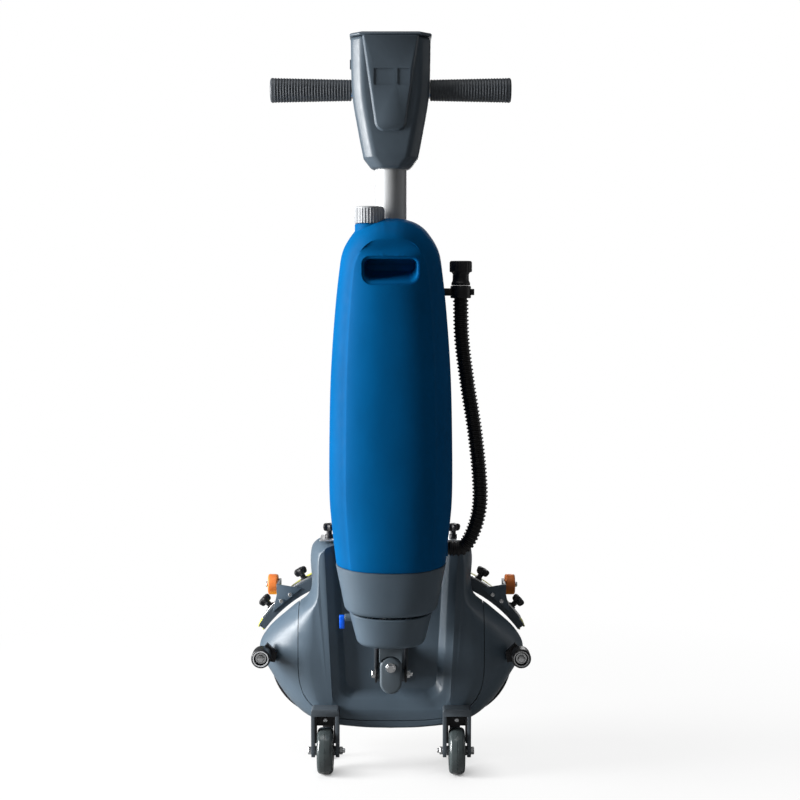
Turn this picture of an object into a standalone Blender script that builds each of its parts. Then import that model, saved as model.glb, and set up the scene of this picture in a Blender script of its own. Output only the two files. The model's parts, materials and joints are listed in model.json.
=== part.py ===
"""Walk-behind micro floor scrubber, parked upright with its scrub deck folded up behind the tank.

Metres, +Z up. X runs to the right and Y away from the viewer. The origin is on the floor under
the middle of the machine. Depths below are measured from the pole's axis, and one empty carries
that axis to its place, so that the front of the tank and the bristle tips lie equally far from
the origin.
"""
import math

import bmesh
import bpy
from mathutils import Vector

for old in list(bpy.data.objects):
    bpy.data.objects.remove(old, do_unlink=True)

# Fits
GAP = 0.0003            # left between pieces that touch
RUN = 0.0010            # running clearance round moving pieces
ROUND = 12              # sides of a small round piece
WHEEL_SIDES = 16

# Pole and handle head
POLE_D = 0.050
POLE_WALL = 0.002
HEAD_TOP_HALF = 0.063   # half width under the control panel
HEAD_BELLY_HALF = 0.0609
HEAD_WAIST_HALF = 0.0518
HEAD_LOW_HALF = 0.0435  # half width above the collar
HEAD_BELLY_SHARE = 0.545
HEAD_WAIST_SHARE = 0.23
COLLAR_HALF = 0.030
HEAD_DEPTH = 0.076
COLLAR_DEPTH = 0.066
HEAD_CHAMFER = 0.016
HEAD_WALL = 0.003
HEAD_H = 0.205
COLLAR_H = 0.018
HEAD_ABOVE_TANK = 0.083
PANEL_RAISE = 0.004     # raised front panel of the head
PANEL_TOP_HALF = 0.041
PANEL_LOW_HALF = 0.019
PANEL_LOW = 0.060       # from the bottom of the head to the foot of the raised panel
WINDOW_LEFT_W = 0.032   # two plain sunk windows on the raised panel
WINDOW_RIGHT_W = 0.0195
WINDOW_GAP = 0.005
WINDOW_START = 0.0265   # from the middle to the left window's outer side
WINDOW_H = 0.026
WINDOW_SINK = 0.0015
WINDOW_DROP = 0.064     # from the top of the head to the middle of the windows
TOP_CAP_H = 0.006
TOP_CAP_OVERHANG = 0.0015
BOARD_T = 0.003
BUTTON_D = 0.016
BUTTON_SPACING = 0.040
BUTTON_TRAVEL = 0.002
BAR_D = 0.026
BAR_WALL = 0.002
BAR_DROP = 0.080        # from the top of the head to the handlebar
GRIP_LENGTH = 0.128
GRIP_STAND = 0.001      # from the side of the head to the grip
GRIP_INNER_D = 0.034
GRIP_OUTER_D = 0.039
GRIP_RIBS = 22
GRIP_RIB_DEPTH = 0.0016
GRIP_SIDES = 8

# Tank
TANK_H = 0.542
TANK_FRONT = 0.095      # from the pole's axis to the front of the tank
TANK_SPLIT = 0.035      # from the pole's axis to the widest plane of the tank
TANK_BACK = 0.020       # from the pole's axis to the back of the tank
TANK_WALL = 0.004
TANK_FOOT_HALF = 0.087
TANK_BELLY_HALF = 0.0975
TANK_WAIST_HALF = 0.095
TANK_SHOULDER_HALF = 0.0815
TANK_BROW_HALF = 0.075
TANK_CROWN_HALF = 0.058
TANK_RIDGE_HALF = 0.042
TANK_TOP_HALF = 0.020
OVAL_POWER = 2.4        # roundness of the level sections of tank, cradle and housing
TANK_BACK_KEYS = ((1.0, 0.144), (0.82, 0.056), (0.30, 0.008))  # share of the way back, and share drawn in
TANK_FRONT_KEYS = (0.0, 0.29, 0.49, 0.62, 0.715, 0.7625)  # share of the way to the front
TANK_PANEL_KEYS = (0.80, 0.54, 0.28, 0.06)  # share of the front panel's width
CROWN_SHARE = 0.75      # of the height, where the tank's crown starts to lean back
CROWN_LEAN = 1.21       # crown's drop for each length that the sides are drawn in
PANEL_RISE = 0.30       # share of the panel's height above the crown's start that its middle is lower
TANK_SIDES = 24
PLUG_H = 0.016          # foot of the tank that sits inside the cradle
PLUG_INSET = 0.009
SLOT_W = 0.083          # carry slot
SLOT_H = 0.040
SLOT_DEPTH = 0.036
SLOT_DROP = 0.076       # from the top of the tank to the middle of the slot
BOSS_D = 0.046          # round boss under the filler cap
NECK_D = 0.040
NECK_BORE = 0.030
NECK_X = -0.033
NECK_Y = -0.050
FILLER_D = 0.047
FILLER_H = 0.026
FILLER_RIBS = 8
FILLER_SIDES = 24
FILLER_SINK = 0.004     # cap's skirt below the top of the tank
FILLER_GRIP = 0.012     # neck inside the cap

# Drain hose, its spigot, clip and cap
HOSE_D = 0.025
HOSE_BORE = 0.017
HOSE_RIB_PITCH = 0.0080
HOSE_RIB_DEPTH = 0.0018
HOSE_Y = 0.005
SPIGOT_FLANGE_D = 0.027
SPIGOT_LIFT = 0.003
SPIGOT_ROOT = 0.068     # spigot's inner end, inside the tank's wall
CLIP_H = 0.020
CLIP_WALL = 0.004
CLIP_ARM_W = 0.014
DRAIN_CAP_D = 0.036
DRAIN_CAP_H = 0.039
DRAIN_CAP_SKIRT = 0.004
HOSE_ROUTE = (          # x, and rise above the spigot, from the cap down
    (0.112, 0.425), (0.112, 0.398), (0.114, 0.338), (0.1235, 0.265), (0.135, 0.192), (0.143, 0.119),
    (0.1435, 0.070), (0.134, 0.030), (0.117, 0.002), (0.092, 0.0))

# Tank cradle and vacuum housing
CRADLE_H = 0.075
CRADLE_TOP_HALF = 0.088
CRADLE_LOW_HALF = 0.073
CRADLE_FRONT = 0.095
CRADLE_BACK = 0.0305
CRADLE_WALL = 0.005
CRADLE_FLOOR = 0.006
HOUSING_H = 0.055
HOUSING_TOP_HALF = 0.067
HOUSING_LOW_HALF = 0.053
HOUSING_FRONT = 0.086
HOUSING_BACK = 0.026
HOUSING_WALL = 0.004
VACUUM_D = 0.078
TAP_D = 0.012
TAP_REACH = 0.007
TAP_LEVER_L = 0.020
TAP_LEVER_W = 0.009
TAP_LEVER_T = 0.008
TAP_DROP = 0.013        # from the top of the housing to the tap

# Universal joint
PIVOT_Z = 0.179         # pitch axis above the floor
PIVOT_Y = -0.035        # pitch axis in front of the pole's axis
ROLL_ABOVE_PITCH = 0.0140
BLOCK_W = 0.035
BLOCK_DEPTH = 0.036
BLOCK_BELOW = 0.029     # from the pitch axis down to the foot of the block
TONGUE_T = 0.016
TONGUE_END_R = 0.0070
TONGUE_ROOT_HALF = 0.015
BOLT_D = 0.0075
BUSH_D = 0.018
HEAD_AF = 0.013         # across the corners of bolt heads and nuts
BOLT_HEAD_H = 0.0055
STUB_W = 0.037
STUB_H = 0.027
STUB_LIFT = 0.0085      # stub's lower corners above the roll axis
EAR_T = 0.005
EAR_R = 0.014
EAR_GAP = 0.0045        # between an ear and the block, filled by a bush
BRACKET_BASE_T = 0.004
BRACKET_BASE_H = 0.068
BRACKET_FLANGE = 0.003

# Scrub deck
DECK_FACE = 0.032       # from the pole's axis back to the deck's top face
DECK_DEPTH = 0.068
DECK_WALL = 0.0035
DECK_TOP = 0.380
DECK_FOOT = 0.060
TOWER_HALF = 0.136
TOWER_FOOT = 0.290
FLANK_HALF = 0.223      # widest point
FLANK_Z = 0.190
FACE_INSET = 0.018      # tower's front edge inside its rim
FACE_DROP = 0.008
FACE_LIFT = 0.013
FACE_HALF = 0.142       # half width of the front face at the widest point
RECESS_TOP_HALF = 0.105
RECESS_STEP_HALF = 0.093
RECESS_FLOOR_HALF = 0.080
RECESS_DEPTH = 0.018
RECESS_FOOT = 0.103
RECESS_RISE = 0.031     # from the recess's foot up to the foot of its floor
RECESS_CORNER = 0.025
COVER_HALF = 0.154      # seam between the cover and the skirt
COVER_FOOT = 0.083
SEAM_STEPS = 20
DOME_STEPS = (0, 18, 36, 54, 72, 90)
PLATE_T = 0.005
PLATE_EDGE = 0.0022     # plate's edge inside the shell
MOTOR_D = 0.064
MOTOR_L = 0.034
SHAFT_D = 0.018
BATTERY_W = 0.200
BATTERY_H = 0.105
BATTERY_D = 0.030
BATTERY_Z = 0.315

# Brushes
BRUSH_X = 0.107
BRUSH_Z = 0.165
BRUSH_D = 0.208
BRUSH_BORE = 0.084
BRUSH_DROP = 0.065      # from the deck's rim to the bristle tips
DISC_STANDOFF = 0.014
DISC_T = 0.008
DISC_INSET = 0.006
HUB_D = 0.044
BACKING_T = 0.003
BRISTLE_RINGS = 3
BRISTLE_SECTORS = 26
TUFT_TAPER = 0.45

# Transport wheels and parking legs
WHEEL_X = 0.108
WHEEL_Y = 0.015
WHEEL_D = 0.076
WHEEL_W = 0.026
WHEEL_HUB_D = 0.050
WHEEL_HUB_W = 0.024
FORK_T = 0.003
FORK_INNER = 0.034
FORK_LEG_W = 0.026
FORK_HEAD = 0.022       # from the top of the tyre to the underside of the fork
FORK_PLATE_H = 0.022
FORK_END_R = 0.011
LEG_W = 0.018
LEG_T = 0.004
LEG_TOP = 0.100
FOOT_LENGTH = 0.026
FOOT_T = 0.006

# Bumper rollers
BUMPER_INSET = 0.009    # roller's axis inside the deck's widest point
BUMPER_D = 0.032
BUMPER_W = 0.030
BUMPER_AHEAD = 0.053    # from the deck's rim forward to the back of the roller
BUMPER_PLATE_T = 0.010
BUMPER_BOLT_D = 0.010
BUMPER_WASHER_D = 0.024

# Squeegee
BLADE_R = 0.230         # radius of the squeegee's bowed ends
BLADE_MID = 0.030       # half length of its straight middle
BLADE_Z = 0.326
BLADE_SWEEP = 59.0      # degrees of bow at each end
BOW_STEPS = 10
CHANNEL_IN = 0.011      # body, inward of the centre line
CHANNEL_OUT = 0.003     # body, outward of the centre line
CHANNEL_H = 0.032
BLADE_T = 0.003
BLADE_DEPTH = 0.046
STRAP_T = 0.003
STRAP_H = 0.016
TIP_SHARE = 0.45        # thickness left at the tips
ARM_X = 0.103
ARM_W = 0.030
ARM_T = 0.0024
ARM_DROP = 0.075
ARM_SETBACK = 0.014     # arm's front end behind the deck's face
KNOB_D = 0.024
KNOB_H = 0.012
KNOB_STEM_D = 0.009
KNOB_STEM_L = 0.006
KNOB_NUT_H = 0.006
STRAP_KNOB_STATIONS = (8, 5)  # steps along the bow, lower and upper knob
GUIDE_FOOT = 50.0       # degrees along the bow where a guide wheel's bracket stands
GUIDE_FOOT_HALF = 8.0
GUIDE_OUT = 0.0257      # from there to the guide wheel, outwards and up
GUIDE_UP = 0.0168
GUIDE_D = 0.035
GUIDE_W = 0.017
GUIDE_TAB_T = 0.004
GUIDE_PIN_D = 0.006

# Levels and depths that follow from the sizes above
ROLL_Z = PIVOT_Z + ROLL_ABOVE_PITCH
STUB_TOP = ROLL_Z + STUB_LIFT + STUB_H
HOUSING_Z = STUB_TOP + GAP
CRADLE_Z = HOUSING_Z + HOUSING_H + GAP
CRADLE_TOP = CRADLE_Z + CRADLE_H
TANK_Z = CRADLE_TOP + GAP
TANK_TOP = TANK_Z + TANK_H
HEAD_Z = TANK_TOP + HEAD_ABOVE_TANK
HEAD_TOP = HEAD_Z + HEAD_H
BAR_Z = HEAD_TOP - BAR_DROP
DECK_RIM = DECK_FACE + DECK_DEPTH
TIPS = DECK_RIM + BRUSH_DROP
POLE_Y = (TANK_FRONT - TIPS) / 2
BUMPER_X = FLANK_HALF - BUMPER_INSET
GUIDE_X = BLADE_MID + BLADE_R * math.cos(math.radians(GUIDE_FOOT)) + GUIDE_OUT
GUIDE_Z = BLADE_Z - BLADE_R + BLADE_R * math.sin(math.radians(GUIDE_FOOT)) + GUIDE_UP
AXLE_Z = WHEEL_D / 2
SPIGOT_Z = TANK_Z + SPIGOT_FLANGE_D / 2 + SPIGOT_LIFT
RECESS_Y = DECK_FACE + RECESS_DEPTH
FILLER_Z = TANK_TOP - FILLER_SINK

FINISHES = {
    "slate": ((0.085, 0.105, 0.130), 0.50, 0.0),
    "dark_slate": ((0.050, 0.062, 0.076), 0.52, 0.0),
    "black": ((0.012, 0.012, 0.014), 0.55, 0.0),
    "blue": ((0.002, 0.090, 0.300), 0.38, 0.0),
    "bright_blue": ((0.000, 0.120, 0.900), 0.35, 0.0),
    "light_grey": ((0.420, 0.430, 0.440), 0.50, 0.0),
    "aluminium": ((0.800, 0.810, 0.820), 0.30, 1.0),
    "steel": ((0.600, 0.610, 0.620), 0.28, 1.0),
    "orange": ((0.830, 0.230, 0.050), 0.45, 0.0),
    "bristle": ((0.830, 0.710, 0.310), 0.70, 0.0),
    "blade": ((0.650, 0.640, 0.060), 0.60, 0.0),
    "tyre": ((0.045, 0.055, 0.055), 0.30, 0.0),
    "board": ((0.020, 0.180, 0.060), 0.50, 0.0),
}

machine = bpy.data.objects.new("machine_axis", None)
machine.location = (0.0, POLE_Y, 0.0)
bpy.context.collection.objects.link(machine)


# Shapes
def loft(rings):
    """Closed skin over rings of equally many points, with a flat cap at each end."""
    bm = bmesh.new()
    rows = [[bm.verts.new(point) for point in ring] for ring in rings]
    count = len(rows[0])
    for low, high in zip(rows, rows[1:]):
        for i in range(count):
            j = (i + 1) % count
            bm.faces.new((low[i], low[j], high[j], high[i]))
    bm.faces.new(rows[0])
    bm.faces.new(rows[-1])
    return bm


def on_axis(axis, along, u, v):
    """Point at (u, v) across an axis; u and v are the other two coordinates in order."""
    if axis == "X":
        return Vector((along, u, v))
    if axis == "Y":
        return Vector((u, along, v))
    return Vector((u, v, along))


def prism(outline, axis, low, high):
    """Outline pushed out along an axis."""
    return loft([[on_axis(axis, level, u, v) for u, v in outline] for level in (low, high)])


def box(x0, x1, y0, y1, z0, z1):
    return prism(((x0, y0), (x1, y0), (x1, y1), (x0, y1)), "Z", z0, z1)


def round_edge(angle):
    return 1.0


def hexagon(angle):
    step = math.pi / 3
    return math.cos(step / 2) / math.cos(angle % step - step / 2)


def star(angle):
    return 0.84 + 0.16 * math.cos(5 * angle)


def ribbed(angle):
    return 0.965 + 0.035 * math.cos(FILLER_RIBS * angle)


def turned(sections, axis, across, sides=ROUND):
    """Solid round an axis, from (place along it, radius, edge shape) sections."""
    rings = []
    for along, radius, shape in sections:
        angles = [2 * math.pi * i / sides for i in range(sides)]
        rings.append([
            on_axis(axis, along, across[0] + radius * shape(a) * math.cos(a),
                    across[1] + radius * shape(a) * math.sin(a))
            for a in angles])
    return loft(rings)


def rod(axis, across, low, high, diameter, sides=ROUND):
    return turned([(low, diameter / 2, round_edge), (high, diameter / 2, round_edge)],
                  axis, across, sides)


def hollow_ring(profile, axis, across, sides=ROUND):
    """Closed (place, radius) profile turned into a ring with an open middle."""
    bm = bmesh.new()
    rows = []
    for i in range(sides):
        angle = 2 * math.pi * i / sides
        rows.append([
            bm.verts.new(on_axis(axis, along, across[0] + radius * math.cos(angle),
                                 across[1] + radius * math.sin(angle)))
            for along, radius in profile])
    count = len(profile)
    for i, row in enumerate(rows):
        after = rows[(i + 1) % sides]
        for k in range(count):
            n = (k + 1) % count
            bm.faces.new((row[k], row[n], after[n], after[k]))
    return bm


def pipe(axis, across, low, high, diameter, wall, sides=ROUND):
    outer = diameter / 2
    inner = outer - wall
    return hollow_ring(((low, inner), (low, outer), (high, outer), (high, inner)), axis, across, sides)


def arc(centre, radius, start, end, steps):
    """Points on an arc, angles in degrees."""
    points = []
    for i in range(steps + 1):
        angle = math.radians(start + (end - start) * i / steps)
        points.append((centre[0] + radius * math.cos(angle), centre[1] + radius * math.sin(angle)))
    return points


def smooth(keys, steps):
    """Curve through key points of any dimension, with its ends included."""
    keys = [Vector(key) for key in keys]
    padded = [2 * keys[0] - keys[1]] + keys + [2 * keys[-1] - keys[-2]]
    points = []
    for a, b, c, d in zip(padded, padded[1:], padded[2:], padded[3:]):
        for i in range(steps):
            t = i / steps
            points.append(0.5 * (2 * b + (c - a) * t + (2 * a - 5 * b + 4 * c - d) * t * t
                                 + (3 * b - a - 3 * c + d) * t * t * t))
    points.append(keys[-1])
    return points


def rounded_rectangle(half_u, half_v, radius, centre, steps=3):
    """Corner arcs of a rectangle, anticlockwise."""
    points = []
    for start, su, sv in ((0, 1, 1), (90, -1, 1), (180, -1, -1), (270, 1, -1)):
        corner = (centre[0] + su * (half_u - radius), centre[1] + sv * (half_v - radius))
        points += arc(corner, radius, start, start + 90, steps)
    return points


# Objects
def place(name, bm, origin):
    """Object with its origin at a point of the machine's axis frame."""
    origin = Vector(origin)
    bmesh.ops.translate(bm, verts=bm.verts, vec=-origin)
    bmesh.ops.recalc_face_normals(bm, faces=bm.faces)
    mesh = bpy.data.meshes.new(name)
    bm.to_mesh(mesh)
    bm.free()
    obj = bpy.data.objects.new(name, mesh)
    obj.parent = machine
    obj.location = origin
    bpy.context.collection.objects.link(obj)
    return obj


def add(name, bm, finish, origin=(0.0, 0.0, 0.0)):
    """Visible sub-part with its own material."""
    obj = place(name, bm, origin)
    obj.data.shade_smooth()
    obj.data.set_sharp_from_angle(angle=math.radians(35))
    colour, roughness, metallic = FINISHES[finish]
    surface = bpy.data.materials.new(name)
    surface.use_nodes = True
    shader = surface.node_tree.nodes["Principled BSDF"]
    shader.inputs["Base Color"].default_value = (*colour, 1.0)
    shader.inputs["Roughness"].default_value = roughness
    shader.inputs["Metallic"].default_value = metallic
    obj.data.materials.append(surface)
    return obj


def tool(bm):
    """Hidden solid for cuts and unions."""
    obj = place("tool", bm, (0.0, 0.0, 0.0))
    obj.hide_render = True
    obj.display_type = "WIRE"
    return obj


def combine(obj, operation, *others):
    """Boolean modifiers on an object, from meshes or from tools already made."""
    for other in others:
        modifier = obj.modifiers.new(operation.lower(), "BOOLEAN")
        modifier.operation = operation
        modifier.solver = "EXACT"
        modifier.object = other if isinstance(other, bpy.types.Object) else tool(other)
    return obj


def cut(obj, *others):
    return combine(obj, "DIFFERENCE", *others)


def unite(obj, *others):
    return combine(obj, "UNION", *others)


def keep(obj, *others):
    return combine(obj, "INTERSECT", *others)


# Handle head
def head_ring(z, half, depth, chamfer, inset=0.0):
    """Eight-cornered section of the head, chamfered all round."""
    w = half - inset
    d = depth / 2 - inset
    c = chamfer
    outline = ((w - c, -d), (w, -d + c), (w, d - c), (w - c, d),
               (c - w, d), (-w, d - c), (-w, -d + c), (c - w, -d))
    return [Vector((x, y, z)) for x, y in outline]


def head_keys():
    """Share of the height above the collar, and half width."""
    return ((0.0, HEAD_LOW_HALF), (HEAD_WAIST_SHARE, HEAD_WAIST_HALF), (HEAD_BELLY_SHARE, HEAD_BELLY_HALF),
            (1.0, HEAD_TOP_HALF))


def head_half_at(z):
    """Half width of the head's sides at a level above the collar."""
    share = (z - HEAD_Z - COLLAR_H) / (HEAD_H - COLLAR_H)
    keys = head_keys()
    below, above = next((pair for pair in zip(keys, keys[1:]) if share <= pair[1][0]), keys[-2:])
    part = (share - below[0]) / (above[0] - below[0])
    return below[1] + part * (above[1] - below[1])


def head_rings(inset=0.0):
    """Sections of the head above its collar, but for the topmost."""
    return [head_ring(HEAD_Z + COLLAR_H + share * (HEAD_H - COLLAR_H), half, HEAD_DEPTH, HEAD_CHAMFER, inset)
            for share, half in head_keys()[:-1]]


def bar_half():
    """Half length of the handlebar, whose grips end at the head."""
    return head_half_at(BAR_Z + GRIP_INNER_D / 2) + GRIP_STAND + GRIP_LENGTH - 3 * RUN


def head_solid():
    return loft((head_ring(HEAD_Z, COLLAR_HALF, COLLAR_DEPTH, HEAD_CHAMFER), *head_rings(),
                 head_ring(HEAD_TOP, HEAD_TOP_HALF, HEAD_DEPTH, HEAD_CHAMFER)))


def head_hollow():
    above = HEAD_TOP + HEAD_WALL
    return loft((*head_rings(HEAD_WALL),
                 head_ring(above, head_half_at(above), HEAD_DEPTH, HEAD_CHAMFER, HEAD_WALL)))


def make_head():
    reach = HEAD_DEPTH
    half_bar = bar_half()
    windows = []
    start = -WINDOW_START
    for width in (WINDOW_LEFT_W, WINDOW_RIGHT_W):
        front = -HEAD_DEPTH / 2 - PANEL_RAISE
        windows.append(box(start, start + width, front - RUN, front + WINDOW_SINK,
                           HEAD_TOP - WINDOW_DROP - WINDOW_H / 2, HEAD_TOP - WINDOW_DROP + WINDOW_H / 2))
        start += width + WINDOW_GAP
    panel_front = -HEAD_DEPTH / 2 - PANEL_RAISE
    panel_back = HEAD_WALL - HEAD_DEPTH / 2 - GAP
    panel = prism(((-PANEL_LOW_HALF, HEAD_Z + PANEL_LOW), (PANEL_LOW_HALF, HEAD_Z + PANEL_LOW),
                   (PANEL_TOP_HALF, HEAD_TOP), (-PANEL_TOP_HALF, HEAD_TOP)),
                  "Y", panel_front, panel_back)
    bar_hole = rod("X", (0, BAR_Z), -half_bar, half_bar, BAR_D + 2 * GAP)
    pole_hole = rod("Z", (0, 0), HEAD_Z - RUN, HEAD_Z + COLLAR_H + RUN, POLE_D + 2 * GAP, 24)
    halves = (("head_front_shell", -reach, -GAP / 2), ("head_rear_shell", GAP / 2, reach))
    for name, near, far in halves:
        shell = add(name, head_solid(), "dark_slate", (0, 0, HEAD_Z))
        if name == "head_front_shell":
            unite(shell, panel)
            cut(shell, *windows)
        cut(shell, head_hollow(), bar_hole.copy(), pole_hole.copy())
        keep(shell, box(-reach, reach, near, far, HEAD_Z - reach, HEAD_TOP + reach))
    bar_hole.free()
    pole_hole.free()

    rim = TOP_CAP_OVERHANG
    low = HEAD_TOP + GAP
    high = low + TOP_CAP_H
    cap_half = HEAD_TOP_HALF + rim
    cap_depth = HEAD_DEPTH + 2 * rim
    cap = add("control_panel", loft((
        head_ring(low, cap_half, cap_depth, HEAD_CHAMFER),
        head_ring(low + TOP_CAP_H * 0.6, cap_half, cap_depth, HEAD_CHAMFER),
        head_ring(high, cap_half, cap_depth, HEAD_CHAMFER, rim))), "dark_slate", (0, 0, low))
    plug_half = HEAD_TOP_HALF - HEAD_WALL - 2 * rim
    plug_depth = HEAD_DEPTH - 2 * HEAD_WALL - 2 * rim
    unite(cap, loft((head_ring(low - TOP_CAP_H, plug_half, plug_depth, HEAD_CHAMFER),
                     head_ring(low + GAP, plug_half, plug_depth, HEAD_CHAMFER))))
    board_top = low - TOP_CAP_H - GAP
    add("control_board", loft((
        head_ring(board_top - BOARD_T, plug_half, plug_depth, HEAD_CHAMFER),
        head_ring(board_top, plug_half, plug_depth, HEAD_CHAMFER))), "board", (0, 0, board_top))
    for name, side in (("power_button", -1), ("water_button", 1)):
        x = side * BUTTON_SPACING / 2
        cut(cap, rod("Z", (x, 0), low - 2 * TOP_CAP_H, high + RUN, BUTTON_D + 2 * GAP))
        foot = board_top + BUTTON_TRAVEL + RUN
        add(name, turned(((foot, BUTTON_D / 2, round_edge),
                          (high + BUTTON_TRAVEL, BUTTON_D / 2, round_edge),
                          (high + BUTTON_TRAVEL + RUN, BUTTON_D / 2 - RUN, round_edge)),
                         "Z", (x, 0)), "light_grey", (x, 0, high))


def make_handlebar():
    half = bar_half()
    add("handlebar_tube", pipe("X", (0, BAR_Z), -half, half, BAR_D, BAR_WALL), "steel", (0, 0, BAR_Z))
    for name, side in (("grip_left", -1), ("grip_right", 1)):
        outer_end = half + 3 * RUN
        start = outer_end - GRIP_LENGTH
        pitch = GRIP_LENGTH / (GRIP_RIBS + 0.5)
        outer = []
        for i in range(GRIP_RIBS + 1):
            share = i / GRIP_RIBS
            radius = (GRIP_INNER_D + share * (GRIP_OUTER_D - GRIP_INNER_D)) / 2
            outer.append((start + i * pitch, radius - GRIP_RIB_DEPTH * (0 < i < GRIP_RIBS)))
            outer.append((start + (i + 0.5) * pitch, radius))
        sections = [(side * along, radius, round_edge) for along, radius in outer]
        grip = add(name, turned(sections, "X", (0, BAR_Z), GRIP_SIDES), "black", (side * half, 0, BAR_Z))
        cut(grip, rod("X", (0, BAR_Z), side * (start - RUN), side * (half + GAP), BAR_D + 2 * GAP))


# Pole, cradle and vacuum housing
def signed_power(value, power):
    return math.copysign(abs(value) ** power, value)


def oval(z, half, front, back):
    """Rounded section with its widest plane in front of the pole."""
    points = []
    for i in range(TANK_SIDES):
        angle = 2 * math.pi * i / TANK_SIDES
        depth = back + TANK_SPLIT if math.sin(angle) > 0 else front - TANK_SPLIT
        points.append(Vector((half * signed_power(math.cos(angle), 2 / OVAL_POWER),
                              depth * signed_power(math.sin(angle), 2 / OVAL_POWER) - TANK_SPLIT, z)))
    return points


def cup(z, height, top, low, wall=0.0, floor=0.0):
    """Cup with a rounded foot; top and low are (half width, front, back)."""
    def section(level, share, inset):
        sizes = [a + (b - a) * share - inset for a, b in zip(low, top)]
        return oval(level, *sizes)
    foot = 0.08 * height
    rings = [section(z + floor, 0.0, wall + foot), section(z + floor + foot, 0.12, wall),
             section(z + 0.5 * height, 0.6, wall), section(z + height, 1.0, wall)]
    if wall:
        rings.append(section(z + height + wall, 1.0, wall))
    return loft(rings)


def make_cradle():
    top = (CRADLE_TOP_HALF, CRADLE_FRONT, CRADLE_BACK)
    low = (CRADLE_LOW_HALF, CRADLE_FRONT - 0.007, CRADLE_BACK - 0.001)
    cradle = add("tank_cradle", cup(CRADLE_Z, CRADLE_H, top, low), "slate", (0, 0, CRADLE_Z))
    hollow = tool(cup(CRADLE_Z, CRADLE_H, top, low, CRADLE_WALL, CRADLE_FLOOR))
    socket_top = TANK_Z - PLUG_H - RUN
    cut(hollow, rod("Z", (0, 0), CRADLE_Z, socket_top, POLE_D + 2 * CRADLE_WALL, 24))
    pole_foot = CRADLE_Z + CRADLE_FLOOR + GAP
    cut(cradle, hollow, rod("Z", (0, 0), pole_foot - GAP, CRADLE_TOP + RUN, POLE_D + 2 * GAP, 24))
    pole_top = BAR_Z - BAR_D / 2 - GAP
    add("pole", pipe("Z", (0, 0), pole_foot, pole_top, POLE_D, POLE_WALL, 20), "aluminium", (0, 0, pole_foot))


def make_housing():
    top = (HOUSING_TOP_HALF, HOUSING_FRONT, HOUSING_BACK)
    low = (HOUSING_LOW_HALF, HOUSING_FRONT - 0.010, HOUSING_BACK - 0.004)
    housing = add("vacuum_housing", cup(HOUSING_Z, HOUSING_H, top, low), "slate", (0, 0, HOUSING_Z))
    cut(housing, cup(HOUSING_Z, HOUSING_H, top, low, HOUSING_WALL, HOUSING_WALL))
    floor = HOUSING_Z + HOUSING_WALL + GAP
    middle = (HOUSING_BACK - HOUSING_FRONT) / 2
    can = VACUUM_D / 2
    tall = HOUSING_H - HOUSING_WALL - 2 * GAP
    add("vacuum_motor", turned(((floor, can * 0.8, round_edge), (floor + 0.3 * tall, can * 0.8, round_edge),
                                (floor + 0.3 * tall, can, round_edge), (floor + 0.7 * tall, can, round_edge),
                                (floor + 0.75 * tall, can * 0.5, round_edge),
                                (floor + tall - GAP, can * 0.5, round_edge)),
                               "Z", (0, middle), 16), "steel", (0, middle, floor))
    tap_z = HOUSING_Z + HOUSING_H - TAP_DROP
    wall_x = HOUSING_TOP_HALF
    boss = rod("X", (-TANK_SPLIT, tap_z), -wall_x - TAP_REACH, -wall_x + 2 * HOUSING_WALL, TAP_D)
    unite(housing, boss)
    outer = -wall_x - TAP_REACH - GAP
    add("tap_lever", prism(
        [(-TANK_SPLIT + u, tap_z + v) for u, v in
         arc((0, 0), TAP_LEVER_W / 2, 0, 180, 4) + arc((0, TAP_LEVER_W / 2 - TAP_LEVER_L),
                                                       TAP_LEVER_W / 3, 180, 360, 4)],
        "X", outer - TAP_LEVER_T, outer), "bright_blue", (outer, -TANK_SPLIT, tap_z))


# Tank
def tank_outline(wall, steps):
    """Right side of the tank's front outline, from its foot to its top."""
    keys = ((0.0, TANK_FOOT_HALF), (0.20, TANK_BELLY_HALF), (0.36, TANK_BELLY_HALF), (0.55, TANK_WAIST_HALF),
            (0.85, TANK_SHOULDER_HALF), (0.915, TANK_BROW_HALF), (0.965, TANK_CROWN_HALF),
            (0.99, TANK_RIDGE_HALF), (1.0, TANK_TOP_HALF))
    return [(half - wall, TANK_Z + wall + share * (TANK_H - 2 * wall)) for share, half in smooth(keys, steps)]


def round_off(share):
    """Share left of one half axis of a rounded section, at a share of the way along the other."""
    return (1 - min(1.0, share) ** OVAL_POWER) ** (1 / OVAL_POWER)


def tank_body(wall=0.0, steps=2):
    """Front outlines stacked from the back of the tank to its bulging front panel."""
    right = tank_outline(wall, steps)
    crown = TANK_Z + CROWN_SHARE * TANK_H
    crown_half = min(x for x, z in right if z < crown + POLE_D)
    reach = TANK_FRONT - wall - TANK_SPLIT
    last = TANK_FRONT_KEYS[-1]
    edge = round_off(last)
    levels = [(-back, 1 - drawn, 1.0) for back, drawn in TANK_BACK_KEYS]
    levels += [(front, round_off(front), 1.0) for front in TANK_FRONT_KEYS]
    levels += [(last, edge, width) for width in TANK_PANEL_KEYS]
    rings = []
    for share, narrow, width in levels:
        lean = CROWN_LEAN * (1 - narrow) * TANK_BELLY_HALF / (TANK_TOP - crown) + PANEL_RISE * (1 - width)
        side = []
        for x, z in right:
            y = share * (TANK_SPLIT + TANK_BACK - wall)
            if share >= 0:
                bulge = round_off(narrow * width * x / max(x, crown_half))
                y = share + (bulge - share) * (share / last) ** 2
                y *= reach
            side.append((x * narrow * width, -y - TANK_SPLIT, z - lean * max(0.0, z - crown)))
        mirror = [(-x, y, z) for x, y, z in reversed(side)]
        rings.append([Vector(point) for point in side + mirror])
    return loft(rings)


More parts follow.
